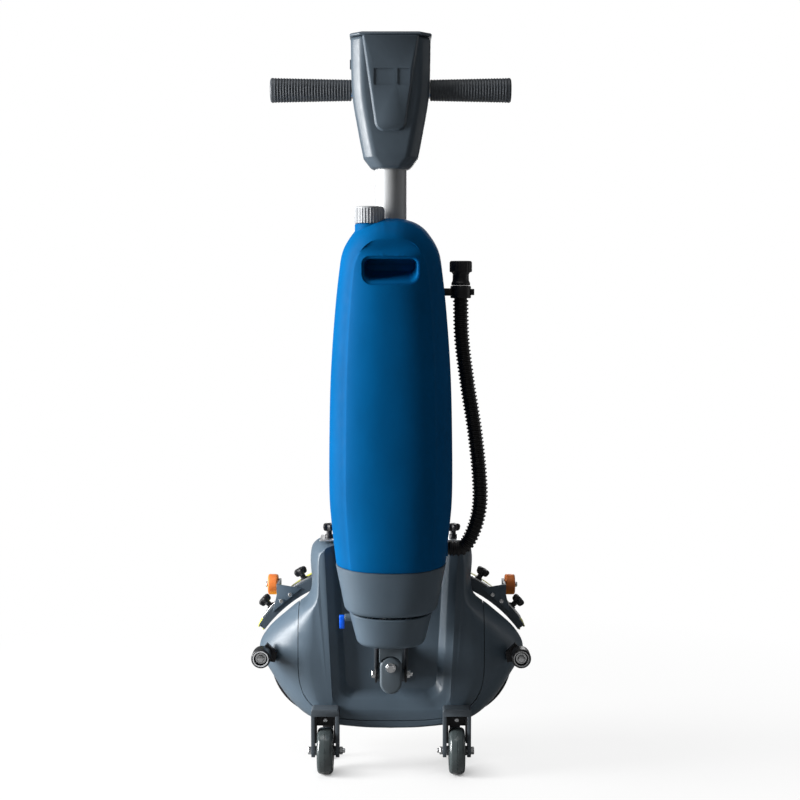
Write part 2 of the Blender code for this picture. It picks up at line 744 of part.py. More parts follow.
def tank_plug():
    """Foot of the tank that sits inside the cradle."""
    sizes = (TANK_FOOT_HALF - PLUG_INSET, TANK_FRONT - PLUG_INSET, TANK_BACK - PLUG_INSET)
    return loft((oval(TANK_Z - PLUG_H, *sizes), oval(TANK_Z + RUN, *sizes)))


def pole_groove(radius):
    """Upright slot that lets the tank sit round the front of the pole."""
    back = TANK_BACK + POLE_D
    outline = arc((0, 0), radius, 180, 360, 10) + [(radius, back), (-radius, back)]
    return prism(outline, "Z", TANK_Z - 2 * PLUG_H, TANK_TOP + POLE_D)


def carry_slot(grow):
    z = TANK_TOP - SLOT_DROP
    outline = rounded_rectangle(SLOT_W / 2 + grow, SLOT_H / 2 + grow, SLOT_H * 0.45 + grow, (0, z))
    return prism(outline, "Y", -TANK_FRONT - SLOT_DEPTH, SLOT_DEPTH + grow - TANK_FRONT)


def make_tank():
    tank = add("water_tank", tank_body(), "blue", (0, 0, TANK_Z))
    unite(tank, tank_plug())
    neck_at = (NECK_X, NECK_Y)
    neck_root = TANK_TOP - NECK_D
    neck_top = FILLER_Z + FILLER_GRIP
    cut(tank, rod("Z", neck_at, FILLER_Z - RUN, TANK_TOP + NECK_D, FILLER_D + 2 * RUN, 20))
    unite(tank, rod("Z", neck_at, neck_root, FILLER_Z - RUN, BOSS_D, 20),
          rod("Z", neck_at, neck_root - RUN, neck_top, NECK_D, 20))
    hollow = tool(tank_body(TANK_WALL, 1))
    cut(hollow, pole_groove(POLE_D / 2 + RUN + TANK_WALL), carry_slot(TANK_WALL))
    cut(tank, pole_groove(POLE_D / 2 + RUN), carry_slot(0.0), hollow)
    cut(tank, rod("Z", neck_at, neck_root - 2 * RUN, neck_top + RUN, NECK_BORE, 16))

    unite(tank, rod("X", (HOSE_Y, SPIGOT_Z), SPIGOT_ROOT, HOSE_ROUTE[-1][0] - GAP, SPIGOT_FLANGE_D))

    skirt = FILLER_D / 2
    cap = add("filler_cap", turned(
        ((FILLER_Z, skirt, ribbed), (FILLER_Z + 0.85 * FILLER_H, skirt, ribbed),
         (FILLER_Z + FILLER_H, 0.88 * skirt, round_edge)), "Z", neck_at, FILLER_SIDES),
        "light_grey", (NECK_X, NECK_Y, FILLER_Z))
    cut(cap, rod("Z", neck_at, FILLER_Z - RUN, neck_top + GAP, NECK_D + 2 * GAP, 20))


def hose_points():
    """Evenly spaced points along the hose, two to a rib, from its cap to its spigot."""
    route = [Vector((x, HOSE_Y, SPIGOT_Z + rise)) for x, rise in HOSE_ROUTE]
    dense = smooth(route, 12)
    step = HOSE_RIB_PITCH / 2
    lengths = [0.0]
    for a, b in zip(dense, dense[1:]):
        lengths.append(lengths[-1] + (b - a).length)
    count = int(lengths[-1] / step)
    points = []
    k = 0
    for i in range(count + 1):
        want = lengths[-1] * i / count
        while k < len(dense) - 2 and lengths[k + 1] < want:
            k += 1
        share = (want - lengths[k]) / (lengths[k + 1] - lengths[k])
        points.append(dense[k].lerp(dense[k + 1], share))
    return points


def tube_mesh(points, radii):
    """Round tube along points, made by a bevelled curve with filled caps."""
    curve = bpy.data.curves.new("tube", "CURVE")
    curve.dimensions = "3D"
    curve.bevel_depth = 1.0
    curve.bevel_resolution = 2
    curve.use_fill_caps = True
    spline = curve.splines.new("POLY")
    spline.points.add(len(points) - 1)
    for point, place_at, radius in zip(spline.points, points, radii):
        point.co = (*place_at, 1.0)
        point.radius = radius
    holder = bpy.data.objects.new("tube", curve)
    mesh = bpy.data.meshes.new_from_object(holder)
    bpy.data.objects.remove(holder)
    bm = bmesh.new()
    bm.from_mesh(mesh)
    bpy.data.meshes.remove(mesh)
    bmesh.ops.remove_doubles(bm, verts=bm.verts, dist=1e-6)
    return bm


def make_hose():
    points = hose_points()
    crest = HOSE_D / 2
    radii = [crest - HOSE_RIB_DEPTH * (i % 2) for i in range(len(points))]
    hose = add("drain_hose", tube_mesh(points, radii), "black", points[0])
    bore = [points[0] + (points[0] - points[1])] + points[1:-1:8] + [points[-1] + (points[-1] - points[-2])]
    cut(hose, tube_mesh(bore, [HOSE_BORE / 2] * len(bore)))

    tank = tool(tank_body())
    for vert in tank.data.vertices:
        vert.co.x *= 1 + GAP / TANK_FOOT_HALF

    top = points[0]
    ring_r = HOSE_D / 2 + CLIP_WALL
    clip_top = top.z - GAP
    clip_low = clip_top - CLIP_H
    clip = add("hose_clip", rod("Z", (top.x, HOSE_Y), clip_low, clip_top, 2 * ring_r, 16), "black",
               (top.x, HOSE_Y, clip_low))
    unite(clip, box(TANK_SHOULDER_HALF / 2, top.x, HOSE_Y - CLIP_ARM_W / 2, HOSE_Y + CLIP_ARM_W / 2,
                    clip_low + CLIP_WALL, clip_top - CLIP_WALL))
    cut(clip, tank, rod("Z", (top.x, HOSE_Y), clip_low - RUN, clip_top + RUN, HOSE_D + 2 * GAP, 16))

    foot = top.z + GAP
    cap_r = DRAIN_CAP_D / 2
    add("drain_cap", turned(
        ((foot, 0.82 * cap_r, round_edge), (foot + DRAIN_CAP_SKIRT, 0.82 * cap_r, round_edge),
         (foot + 2 * DRAIN_CAP_SKIRT, 0.72 * cap_r, round_edge),
         (foot + 0.5 * DRAIN_CAP_H, 0.72 * cap_r, round_edge), (foot + 0.55 * DRAIN_CAP_H, cap_r, round_edge),
         (foot + 0.95 * DRAIN_CAP_H, cap_r, round_edge), (foot + DRAIN_CAP_H, 0.9 * cap_r, round_edge)),
        "Z", (top.x, HOSE_Y), 16), "black", (top.x, HOSE_Y, foot))


# Universal joint
def bolt(axis, across, low, high, diameter, corner, head):
    """Hexagon bolt with its nut: head outside low, nut outside high."""
    way = 1 if high > low else -1
    shank = diameter / 2
    hexes = corner / 2
    return turned(((low - way * (head + GAP), hexes * 0.9, hexagon), (low - way * head * 0.8, hexes, hexagon),
                   (low - way * GAP, hexes, hexagon), (low - way * GAP, shank, round_edge),
                   (high + way * GAP, shank, round_edge), (high + way * GAP, hexes, hexagon),
                   (high + way * head, hexes, hexagon), (high + way * head, shank, round_edge),
                   (high + way * (head + shank), shank, round_edge)), axis, across)


def make_universal_joint():
    near = PIVOT_Y - BLOCK_DEPTH / 2
    far = PIVOT_Y + BLOCK_DEPTH / 2
    roll = (0, ROLL_Z)
    pitch = (PIVOT_Y, PIVOT_Z)
    half = BLOCK_W / 2
    hole = BOLT_D + 2 * GAP

    clear_r = half + RUN
    corner_angle = math.degrees(math.asin(STUB_LIFT / clear_r))
    outline = [(STUB_W / 2, STUB_TOP), (STUB_W / 2, ROLL_Z + STUB_LIFT)]
    outline += arc(roll, clear_r, corner_angle, 180 - corner_angle, 10)
    outline += [(-STUB_W / 2, ROLL_Z + STUB_LIFT), (-STUB_W / 2, STUB_TOP)]
    stub = add("joint_stub", prism(outline, "Y", near, far), "slate", (0, PIVOT_Y, ROLL_Z))
    tongue = [(TONGUE_ROOT_HALF, ROLL_Z + clear_r + RUN), (-TONGUE_ROOT_HALF, ROLL_Z + clear_r + RUN)]
    tongue += arc(roll, TONGUE_END_R, 180, 360, 8)
    unite(stub, prism(tongue, "Y", PIVOT_Y - TONGUE_T / 2, PIVOT_Y + TONGUE_T / 2))
    cut(stub, rod("Y", roll, near, far, hole))

    foot = (0, PIVOT_Z - BLOCK_BELOW + half)
    block = add("knuckle_block", prism(arc(roll, half, 0, 180, 10) + arc(foot, half, 180, 360, 10),
                                       "Y", near, far), "slate", (0, PIVOT_Y, PIVOT_Z))
    slot = TONGUE_T / 2 + 2 * GAP
    boss_end = half + EAR_GAP - GAP
    unite(block, rod("X", pitch, -boss_end, boss_end, BUSH_D))
    cut(block, box(-BLOCK_W, BLOCK_W, PIVOT_Y - slot, PIVOT_Y + slot,
                   ROLL_Z - TONGUE_END_R - 2 * GAP, ROLL_Z + BLOCK_W),
        rod("Y", roll, near - RUN, far + RUN, hole), rod("X", pitch, -BLOCK_W, BLOCK_W, hole))
    add("roll_bolt", bolt("Y", roll, near, far, BOLT_D, HEAD_AF, BOLT_HEAD_H), "steel", (0, near, ROLL_Z))

    ear_in = half + EAR_GAP
    ear_out = ear_in + EAR_T
    add("pitch_bolt", bolt("X", pitch, -ear_out, ear_out, BOLT_D, HEAD_AF, BOLT_HEAD_H), "steel",
        (0, PIVOT_Y, PIVOT_Z))
    base_back = RECESS_Y - GAP
    base_front = base_back - BRACKET_BASE_T
    reach = BRACKET_BASE_H / 2
    flange = ear_out + BRACKET_FLANGE
    base = box(-flange, flange, base_front, base_back, PIVOT_Z - reach, PIVOT_Z + reach)
    bracket = add("pivot_bracket", base, "black", (0, PIVOT_Y, PIVOT_Z))
    ear = arc(pitch, EAR_R, 90, 270, 8) + [(base_back - GAP, PIVOT_Z - 0.8 * reach),
                                           (base_back - GAP, PIVOT_Z + 0.8 * reach)]
    for side in (-1, 1):
        unite(bracket, prism(ear, "X", side * ear_in, side * ear_out))
    cut(bracket, rod("X", pitch, -2 * ear_out, 2 * ear_out, hole))


# Scrub deck
def deck_rim_keys():
    """Right half of the deck's rim, from the top middle to the bottom middle."""
    flare = FLANK_HALF - TOWER_HALF
    drop = TOWER_FOOT - FLANK_Z
    return ((0, DECK_TOP), (TOWER_HALF - 0.036, DECK_TOP), (TOWER_HALF - 0.008, DECK_TOP - 0.008),
            (TOWER_HALF, DECK_TOP - 0.032), (TOWER_HALF, TOWER_FOOT),
            (TOWER_HALF + 0.35 * flare, TOWER_FOOT - 0.28 * drop),
            (TOWER_HALF + 0.82 * flare, TOWER_FOOT - 0.65 * drop), (FLANK_HALF, FLANK_Z),
            (FLANK_HALF - 0.019, FLANK_Z - 0.040), (FLANK_HALF - 0.053, FLANK_Z - 0.090),
            (FLANK_HALF - 0.093, DECK_FOOT + 0.012), (0.27 * FLANK_HALF, DECK_FOOT + 0.002), (0, DECK_FOOT))


def deck_face_keys():
    """Right half of the deck's flat front face, with the same points as the rim."""
    tower = TOWER_HALF - FACE_INSET
    top = DECK_TOP - FACE_DROP
    foot = DECK_FOOT + FACE_LIFT
    return ((0, top), (tower - 0.030, top), (tower - 0.007, top - 0.007), (tower, top - 0.024),
            (tower + 0.002, TOWER_FOOT), (tower + 0.010, TOWER_FOOT - 0.028),
            (FACE_HALF - 0.004, FLANK_Z + 0.035), (FACE_HALF, FLANK_Z), (FACE_HALF - 0.003, FLANK_Z - 0.040),
            (FACE_HALF - 0.013, FLANK_Z - 0.078), (FACE_HALF - 0.034, foot + 0.011),
            (0.39 * FACE_HALF, foot + 0.002), (0, foot))


def whole_outline(keys):
    """Closed outline from its right half."""
    right = [(p.x, p.y) for p in smooth([Vector(key) for key in keys], 2)]
    left = [(-x, z) for x, z in reversed(right[1:-1])]
    return right + left


def offset(outline, amount):
    """Outline moved outwards; the outline runs clockwise."""
    moved = []
    for i, (x, z) in enumerate(outline):
        before = outline[i - 1]
        after = outline[(i + 1) % len(outline)]
        along = Vector((after[0] - before[0], after[1] - before[1])).normalized()
        moved.append((x - along.y * amount, z + along.x * amount))
    return moved


def deck_body(grow=0.0, past_rim=0.0):
    """Domed deck: a quarter ellipse from the flat face out to the rim."""
    rim = offset(whole_outline(deck_rim_keys()), grow)
    face = offset(whole_outline(deck_face_keys()), grow)
    rings = []
    for degrees in DOME_STEPS:
        share = math.sin(math.radians(degrees))
        y = DECK_FACE - grow + (DECK_DEPTH + grow) * (1 - math.cos(math.radians(degrees)))
        rings.append([Vector((a[0] + share * (b[0] - a[0]), y, a[1] + share * (b[1] - a[1])))
                      for a, b in zip(face, rim)])
    if past_rim:
        rings.append([Vector((x, DECK_RIM + past_rim, z)) for x, z in rim])
    return loft(rings)


def deck_recess(grow=0.0):
    """Sloping channel with rounded lower corners that the pole and the joint's bracket lie in."""
    rings = []
    top = DECK_TOP + 2 * RECESS_DEPTH
    for y, half, foot in ((DECK_FACE - RUN, RECESS_TOP_HALF, RECESS_FOOT),
                          (DECK_FACE + RECESS_DEPTH / 3, RECESS_STEP_HALF, RECESS_FOOT + RECESS_RISE / 3),
                          (RECESS_Y + grow, RECESS_FLOOR_HALF, RECESS_FOOT + RECESS_RISE)):
        half += grow
        low = foot - grow + RECESS_CORNER
        outline = arc((RECESS_CORNER - half, low), RECESS_CORNER, 180, 270, 3)
        outline += arc((half - RECESS_CORNER, low), RECESS_CORNER, 270, 360, 3)
        outline += [(half, top), (-half, top)]
        rings.append([Vector((x, y, z)) for x, z in outline])
    return loft(rings)


def cover_prism(grow):
    """U-shaped seam line pushed through the deck."""
    half = COVER_HALF + grow
    drop = FLANK_Z - COVER_FOOT + grow
    outline = [(half, DECK_TOP + DECK_DEPTH)]
    for i in range(SEAM_STEPS + 1):
        angle = math.pi * i / SEAM_STEPS
        outline.append((half * signed_power(math.cos(angle), 2 / 3.4),
                        FLANK_Z - drop * math.sin(angle) ** (2 / 3.4)))
    outline.append((-half, DECK_TOP + DECK_DEPTH))
    return prism(outline, "Y", 0.0, 2 * DECK_RIM)


def make_deck():
    hollow = tool(deck_body(-DECK_WALL, DECK_DEPTH))
    cut(hollow, deck_recess(DECK_WALL))
    cover = add("deck_cover", deck_body(), "slate", (0, DECK_FACE, FLANK_Z))
    cut(cover, deck_recess(), hollow)
    keep(cover, cover_prism(-GAP / 2))
    base = add("deck_base", deck_body(), "slate", (0, DECK_FACE, FLANK_Z))
    cut(base, hollow, cover_prism(GAP / 2))

    plate_front = DECK_RIM - PLATE_T
    outline = offset(whole_outline(deck_rim_keys()), -DECK_WALL - PLATE_EDGE)
    plate = add("deck_plate", prism(outline, "Y", plate_front, DECK_RIM), "steel", (0, DECK_RIM, FLANK_Z))
    motor_back = plate_front - GAP
    motor_front = motor_back - MOTOR_L
    can = MOTOR_D / 2
    shaft = SHAFT_D / 2
    for name, side in (("left", -1), ("right", 1)):
        at = (side * BRUSH_X, BRUSH_Z)
        cut(plate, rod("Y", at, plate_front - RUN, DECK_RIM + RUN, SHAFT_D + 2 * GAP, 16))
        add("brush_motor_" + name, turned(
            ((motor_front, 0.6 * can, round_edge), (motor_front + 0.2 * MOTOR_L, can, round_edge),
             (motor_back, can, round_edge), (motor_back, shaft, round_edge), (DECK_RIM, shaft, round_edge)),
            "Y", at, 16), "steel", (at[0], motor_front, at[1]))
    battery_back = plate_front - GAP
    battery = add("battery_pack", box(-BATTERY_W / 2, BATTERY_W / 2, battery_back - BATTERY_D, battery_back,
                                      BATTERY_Z - BATTERY_H / 2, BATTERY_Z + BATTERY_H / 2), "black",
                  (0, battery_back, BATTERY_Z))
    soften = battery.modifiers.new("edges", "BEVEL")
    soften.width = BATTERY_D / 8
    soften.segments = 1


# Brushes
def bristle_ring(centre, back):
    """Tapering tufts in rings, standing on a slice of their backing."""
    bm = bmesh.new()
    face = back + BACKING_T

    def circle(radius, y):
        row = []
        for i in range(BRISTLE_SECTORS):
            angle = 2 * math.pi * i / BRISTLE_SECTORS
            row.append(bm.verts.new((centre[0] + radius * math.cos(angle), y,
                                     centre[1] + radius * math.sin(angle))))
        return row

    inner = BRUSH_BORE / 2
    width = (BRUSH_D - BRUSH_BORE) / 2 / BRISTLE_RINGS
    roots = [circle(inner + k * width, face) for k in range(BRISTLE_RINGS + 1)]
    under = [circle(inner, back), circle(BRUSH_D / 2, back)]
    for i in range(BRISTLE_SECTORS):
        j = (i + 1) % BRISTLE_SECTORS
        bm.faces.new((under[0][i], under[0][j], under[1][j], under[1][i]))
        bm.faces.new((under[0][i], under[0][j], roots[0][j], roots[0][i]))
        bm.faces.new((under[1][i], under[1][j], roots[-1][j], roots[-1][i]))
        for low, high in zip(roots, roots[1:]):
            for cell in ((low[i], low[j], high[j]), (low[i], high[j], high[i])):
                middle = sum((vert.co for vert in cell), Vector()) / 3
                tips = []
                for vert in cell:
                    tip = middle.lerp(vert.co, TUFT_TAPER)
                    tip.y = TIPS
                    tips.append(bm.verts.new(tip))
                for a in range(3):
                    b = (a + 1) % 3
                    bm.faces.new((cell[a], cell[b], tips[b], tips[a]))
                bm.faces.new(tips)
    return bm


def make_brushes():
    for name, side in (("left", -1), ("right", 1)):
        at = (side * BRUSH_X, BRUSH_Z)
        hub_front = DECK_RIM + GAP
        disc_front = DECK_RIM + DISC_STANDOFF
        disc_back = disc_front + DISC_T
        radius = BRUSH_D / 2 - DISC_INSET
        add("brush_disc_" + name, turned(
            ((hub_front, HUB_D / 2, round_edge), (disc_front - DISC_T / 2, HUB_D / 2, round_edge),
             (disc_front, HUB_D, round_edge), (disc_front, radius - RUN, round_edge),
             (disc_front + RUN, radius, round_edge), (disc_back, radius, round_edge)),
            "Y", at, WHEEL_SIDES), "black", (at[0], hub_front, at[1]))
        add("bristles_" + name, bristle_ring(at, disc_back + GAP), "bristle", (at[0], disc_back, at[1]))


# Transport wheels and parking legs
def make_wheels():
    axle = (WHEEL_Y, AXLE_Z)
    inner = FORK_INNER / 2
    outer = inner + FORK_T
    web = WHEEL_D + FORK_HEAD
    near = WHEEL_Y - FORK_LEG_W / 2
    far = WHEEL_Y + FORK_LEG_W / 2
    face = DECK_FACE - GAP
    leg = arc(axle, FORK_END_R, 180, 360, 6) + [(far, web + FORK_T / 2), (near, web + FORK_T / 2)]
    for name, side in (("left", -1), ("right", 1)):
        x = side * WHEEL_X
        origin = (x, WHEEL_Y, AXLE_Z)
        top_plate = box(x - outer, x + outer, near, face, web, web + FORK_T)
        fork = add("caster_fork_" + name, top_plate, "slate", origin)
        foot_plate = web - FORK_PLATE_H / 3
        seat = outer - FORK_T / 2
        unite(fork, box(x - outer, x + outer, face - FORK_T, face, foot_plate, foot_plate + FORK_PLATE_H),
              prism(leg, "X", x - outer, x - inner), prism(leg, "X", x + inner, x + outer),
              bolt("X", axle, x + side * seat, x - side * seat, BOLT_D, HEAD_AF, BOLT_HEAD_H + FORK_T / 2))

        rim = WHEEL_HUB_D / 2
        dish = WHEEL_HUB_W / 4
        bore = BOLT_D / 2 + GAP
        tread = WHEEL_D / 2
        wide = WHEEL_W / 2
        half = ((inner - GAP, bore), (inner - GAP, 0.30 * rim), (dish, 0.38 * rim), (dish, 0.80 * rim),
                (WHEEL_HUB_W / 2, rim), (wide, rim + 0.003), (wide, tread - 0.007),
                (wide - 0.005, tread - 0.001))
        profile = [(x + along, r) for along, r in half] + [(x, tread)]
        profile += [(x - along, r) for along, r in reversed(half)]
        add("caster_wheel_" + name, hollow_ring(profile, "X", axle, WHEEL_SIDES), "tyre", origin)

    back = DECK_RIM + GAP
    profile = [(back, LEG_TOP), (back + LEG_T, LEG_TOP), (back + LEG_T, FOOT_T),
               (back + FOOT_LENGTH / 2, FOOT_T), (back + FOOT_LENGTH / 2, 0.0), (back - FOOT_LENGTH / 2, 0.0),
               (back - FOOT_LENGTH / 2, FOOT_T), (back, FOOT_T)]
    stand = add("parking_stand", prism(profile, "X", WHEEL_X - LEG_W / 2, WHEEL_X + LEG_W / 2), "black",
                (0, back, 0))
    unite(stand, prism(profile, "X", -WHEEL_X - LEG_W / 2, LEG_W / 2 - WHEEL_X),
          box(-WHEEL_X, WHEEL_X, back, back + LEG_T, LEG_TOP - LEG_W, LEG_TOP))


# Bumper rollers
def make_bumpers():
    skin = tool(deck_body(GAP))
    roller_back = DECK_RIM - BUMPER_AHEAD
    roller_front = roller_back - BUMPER_W
    plate_front = roller_back + RUN
    plate_back = plate_front + BUMPER_PLATE_T
    radius = BUMPER_D / 2
    bolt_r = BUMPER_BOLT_D / 2
    washer = roller_front - GAP
    washer_r = BUMPER_WASHER_D / 2
    for name, side in (("left", -1), ("right", 1)):
        at = (side * BUMPER_X, FLANK_Z)
        sweep = (-90, 90) if side > 0 else (90, 270)
        root = side * (BUMPER_X - 0.9 * BUMPER_D)
        wedge = arc(at, 0.6 * radius, *sweep, 6)
        wedge += [(root, FLANK_Z + side * radius), (root, FLANK_Z - side * radius)]
        bracket = add("bumper_bracket_" + name, prism(wedge, "Y", plate_front, plate_back), "black",
                      (at[0], plate_front, at[1]))
        cut(bracket, skin)
        unite(bracket, turned(
            ((washer - 0.007, 0.6 * washer_r, hexagon), (washer - 0.002, 0.6 * washer_r, hexagon),
             (washer - 0.002, washer_r, round_edge), (washer, washer_r, round_edge),
             (washer, bolt_r, round_edge), (plate_front + 0.7 * BUMPER_PLATE_T, bolt_r, round_edge)),
            "Y", at))
        profile = [(roller_front, bolt_r + GAP), (roller_front, radius - 0.003),
                   (roller_front + 0.003, radius), (roller_back - 0.003, radius),
                   (roller_back, radius - 0.003), (roller_back, bolt_r + GAP)]
        add("bumper_roller_" + name, hollow_ring(profile, "Y", at, WHEEL_SIDES), "tyre",
            (at[0], roller_front, at[1]))


# Squeegee
def bow_station(step):
    """Place, outward direction and taper at a step along the right half of the squeegee."""
    share = step / BOW_STEPS
    angle = math.radians(90 - BLADE_SWEEP * share)
    out = Vector((math.cos(angle), 0, math.sin(angle)))
    taper = 1 - (1 - TIP_SHARE) * max(0.0, 2 * share - 1)
    return Vector((BLADE_MID, 0, BLADE_Z - BLADE_R)) + BLADE_R * out, out, taper


def bow_stations(trim):
    """Stations along the squeegee from its left tip to its right."""
    right = [bow_station(step) for step in range(BOW_STEPS + 1 - trim)]
    left = [(Vector((-p.x, 0, p.z)), Vector((-out.x, 0, out.z)), taper) for p, out, taper in reversed(right)]
    return left + right


def bowed(inner, outer, low, high, trim=0):
    """Strip along the squeegee; inner and outer are (tapered, constant) parts of its two faces."""
    rings = []
    for point, out, taper in bow_stations(trim):
        a = point + out * (inner[0] * taper + inner[1])
        b = point + out * (outer[0] * taper + outer[1])
        rings.append([Vector((p.x, y, p.z)) for p, y in ((a, low), (b, low), (b, high), (a, high))])
    return loft(rings)


def star_knob(name, place_at, tilt, nut):
    """Star grip on a stem with a lock nut, standing along its own Z."""
    stem = KNOB_STEM_D / 2
    grip = KNOB_D / 2
    top = nut + KNOB_STEM_L + KNOB_H
    knob = add(name, turned(
        ((0.0, 1.5 * stem, round_edge), (nut, 1.5 * stem, round_edge), (nut + KNOB_STEM_L, stem, round_edge),
         (nut + KNOB_STEM_L, 0.85 * grip, star), (top - 0.3 * KNOB_H, grip, star), (top, 0.7 * grip, star)),
        "Z", (0, 0), 10), "black")
    knob.location = place_at
    knob.rotation_euler = (0.0, math.radians(tilt), 0.0)


def make_squeegee():
    low = DECK_RIM + ARM_T + 2 * GAP
    high = low + CHANNEL_H
    blade_high = TIPS
    blade_low = blade_high - BLADE_DEPTH
    strap_low = low + (CHANNEL_H - STRAP_H) / 3
    strap_in = (CHANNEL_OUT, BLADE_T + 2 * GAP)
    strap_out = (CHANNEL_OUT, BLADE_T + STRAP_T + 2 * GAP)
    body = add("squeegee_body", bowed((-CHANNEL_IN, 0), (CHANNEL_OUT, 0), low, high), "slate",
               (0, low, BLADE_Z))
    cover = BLADE_T + GAP
    unite(body, bowed((-CHANNEL_IN, -cover), (CHANNEL_OUT, cover), low, blade_low - GAP))
    add("squeegee_blade_rear", bowed((CHANNEL_OUT, GAP), (CHANNEL_OUT, BLADE_T + GAP), blade_low, blade_high),
        "blade", (0, high, BLADE_Z))
    add("squeegee_blade_front",
        bowed((-CHANNEL_IN, -BLADE_T - GAP), (-CHANNEL_IN, -GAP), blade_low, blade_high),
        "blade", (0, high, BLADE_Z))
    add("squeegee_strap", bowed(strap_in, strap_out, strap_low, strap_low + STRAP_H, 1), "aluminium",
        (0, strap_low, BLADE_Z))

    arm_z = DECK_TOP + GAP
    back = DECK_RIM + GAP
    middle = DECK_FACE + DECK_DEPTH / 2
    profile = ((DECK_FACE + ARM_SETBACK, arm_z), (DECK_FACE + ARM_SETBACK, arm_z + ARM_T),
               (back + ARM_T, arm_z + ARM_T), (back + ARM_T, arm_z - ARM_DROP), (back, arm_z - ARM_DROP),
               (back, arm_z))
    for name, side in (("left", -1), ("right", 1)):
        x = side * ARM_X
        add("squeegee_arm_" + name, prism(profile, "X", x - ARM_W / 2, x + ARM_W / 2), "aluminium",
            (x, middle, arm_z))
        star_knob("mount_knob_" + name, (x, middle, arm_z + ARM_T + GAP), 0.0, KNOB_NUT_H)

    knob_y = strap_low + STRAP_H / 2
    for place_name, step in zip(("lower", "upper"), STRAP_KNOB_STATIONS):
        point, out, taper = bow_station(step)
        seat = point + out * (CHANNEL_OUT * taper + BLADE_T + STRAP_T + 3 * GAP)
        tilt = BLADE_SWEEP * step / BOW_STEPS
        for name, side in (("left", -1), ("right", 1)):
            star_knob("strap_knob_" + place_name + "_" + name, (side * seat.x, knob_y, seat.z), side * tilt,
                      0.3 * KNOB_NUT_H)


def make_guide_wheels():
    front = DECK_RIM + GAP
    y = TIPS - GUIDE_D / 2
    axle = (y, GUIDE_Z)
    tab_half = 0.5 * GUIDE_D / 2
    for name, side in (("left", -1), ("right", 1)):
        inner = GUIDE_X - GUIDE_W / 2
        outer = GUIDE_X + GUIDE_W / 2
        corners = []
        for degrees in (GUIDE_FOOT - GUIDE_FOOT_HALF, GUIDE_FOOT + GUIDE_FOOT_HALF):
            angle = math.radians(degrees)
            corners.append((side * (BLADE_MID + BLADE_R * math.cos(angle)),
                            BLADE_Z - BLADE_R + BLADE_R * math.sin(angle)))
        tab_out = inner - RUN
        tab_in = tab_out - GUIDE_TAB_T
        corners.append((side * tab_in, GUIDE_Z + tab_half))
        corners.append((side * tab_out, GUIDE_Z + tab_half))
        corners.append((side * tab_out, GUIDE_Z - tab_half))
        bracket = add("guide_bracket_" + name, prism(corners, "Y", front, front + ARM_T), "slate",
                      (side * GUIDE_X, front, GUIDE_Z))
        low, high = sorted((side * tab_in, side * tab_out))
        unite(bracket, box(low, high, front + GAP, y + tab_half, GUIDE_Z - tab_half, GUIDE_Z + tab_half),
              rod("X", axle, side * (tab_out - GUIDE_TAB_T / 2), side * (outer + 2 * RUN), GUIDE_PIN_D))
        radius = GUIDE_D / 2
        bore = GUIDE_PIN_D / 2 + GAP
        profile = [(inner, bore), (inner, 0.85 * radius), (inner + 0.15 * GUIDE_W, radius),
                   (outer - 0.15 * GUIDE_W, radius), (outer, 0.85 * radius), (outer, bore)]
        profile = [(side * along, r) for along, r in profile]
        add("guide_wheel_" + name, hollow_ring(profile, "X", axle, WHEEL_SIDES), "orange",
            (side * GUIDE_X, y, GUIDE_Z))


make_head()
make_handlebar()
make_cradle()
make_housing()
make_tank()
make_hose()
make_universal_joint()
make_deck()
make_brushes()
make_wheels()
make_bumpers()
make_squeegee()
make_guide_wheels()
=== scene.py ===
"""Looks of the parked floor scrubber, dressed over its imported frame.

Metres, +Z up. X runs to the right seen from the tank side and Y away from the viewer. As in the part's
source, depths are measured from the pole's axis; every piece is carried back by POLE_Y when it is made.
"""
import json
import math

import bmesh
import bpy
from mathutils import Matrix, Vector

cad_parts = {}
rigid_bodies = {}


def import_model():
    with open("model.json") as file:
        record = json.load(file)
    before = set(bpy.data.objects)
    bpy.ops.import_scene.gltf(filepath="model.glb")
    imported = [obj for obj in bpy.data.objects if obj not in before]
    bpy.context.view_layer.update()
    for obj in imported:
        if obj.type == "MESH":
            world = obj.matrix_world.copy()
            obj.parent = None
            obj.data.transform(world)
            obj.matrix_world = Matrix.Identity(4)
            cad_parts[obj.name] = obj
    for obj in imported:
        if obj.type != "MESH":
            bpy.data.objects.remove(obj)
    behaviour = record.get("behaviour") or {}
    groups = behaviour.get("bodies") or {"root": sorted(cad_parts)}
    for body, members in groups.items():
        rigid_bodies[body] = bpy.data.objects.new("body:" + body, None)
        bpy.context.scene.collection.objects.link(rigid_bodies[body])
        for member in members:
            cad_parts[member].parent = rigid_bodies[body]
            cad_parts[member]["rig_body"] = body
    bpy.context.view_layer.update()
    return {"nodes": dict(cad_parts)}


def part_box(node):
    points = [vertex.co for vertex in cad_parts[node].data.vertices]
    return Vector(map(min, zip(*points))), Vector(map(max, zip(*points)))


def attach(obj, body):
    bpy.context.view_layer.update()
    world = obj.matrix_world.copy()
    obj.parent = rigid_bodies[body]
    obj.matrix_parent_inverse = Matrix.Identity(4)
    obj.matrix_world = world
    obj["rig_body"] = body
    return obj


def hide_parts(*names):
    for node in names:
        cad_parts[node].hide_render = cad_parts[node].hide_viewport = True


for old in list(bpy.data.objects):
    bpy.data.objects.remove(old, do_unlink=True)
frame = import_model()

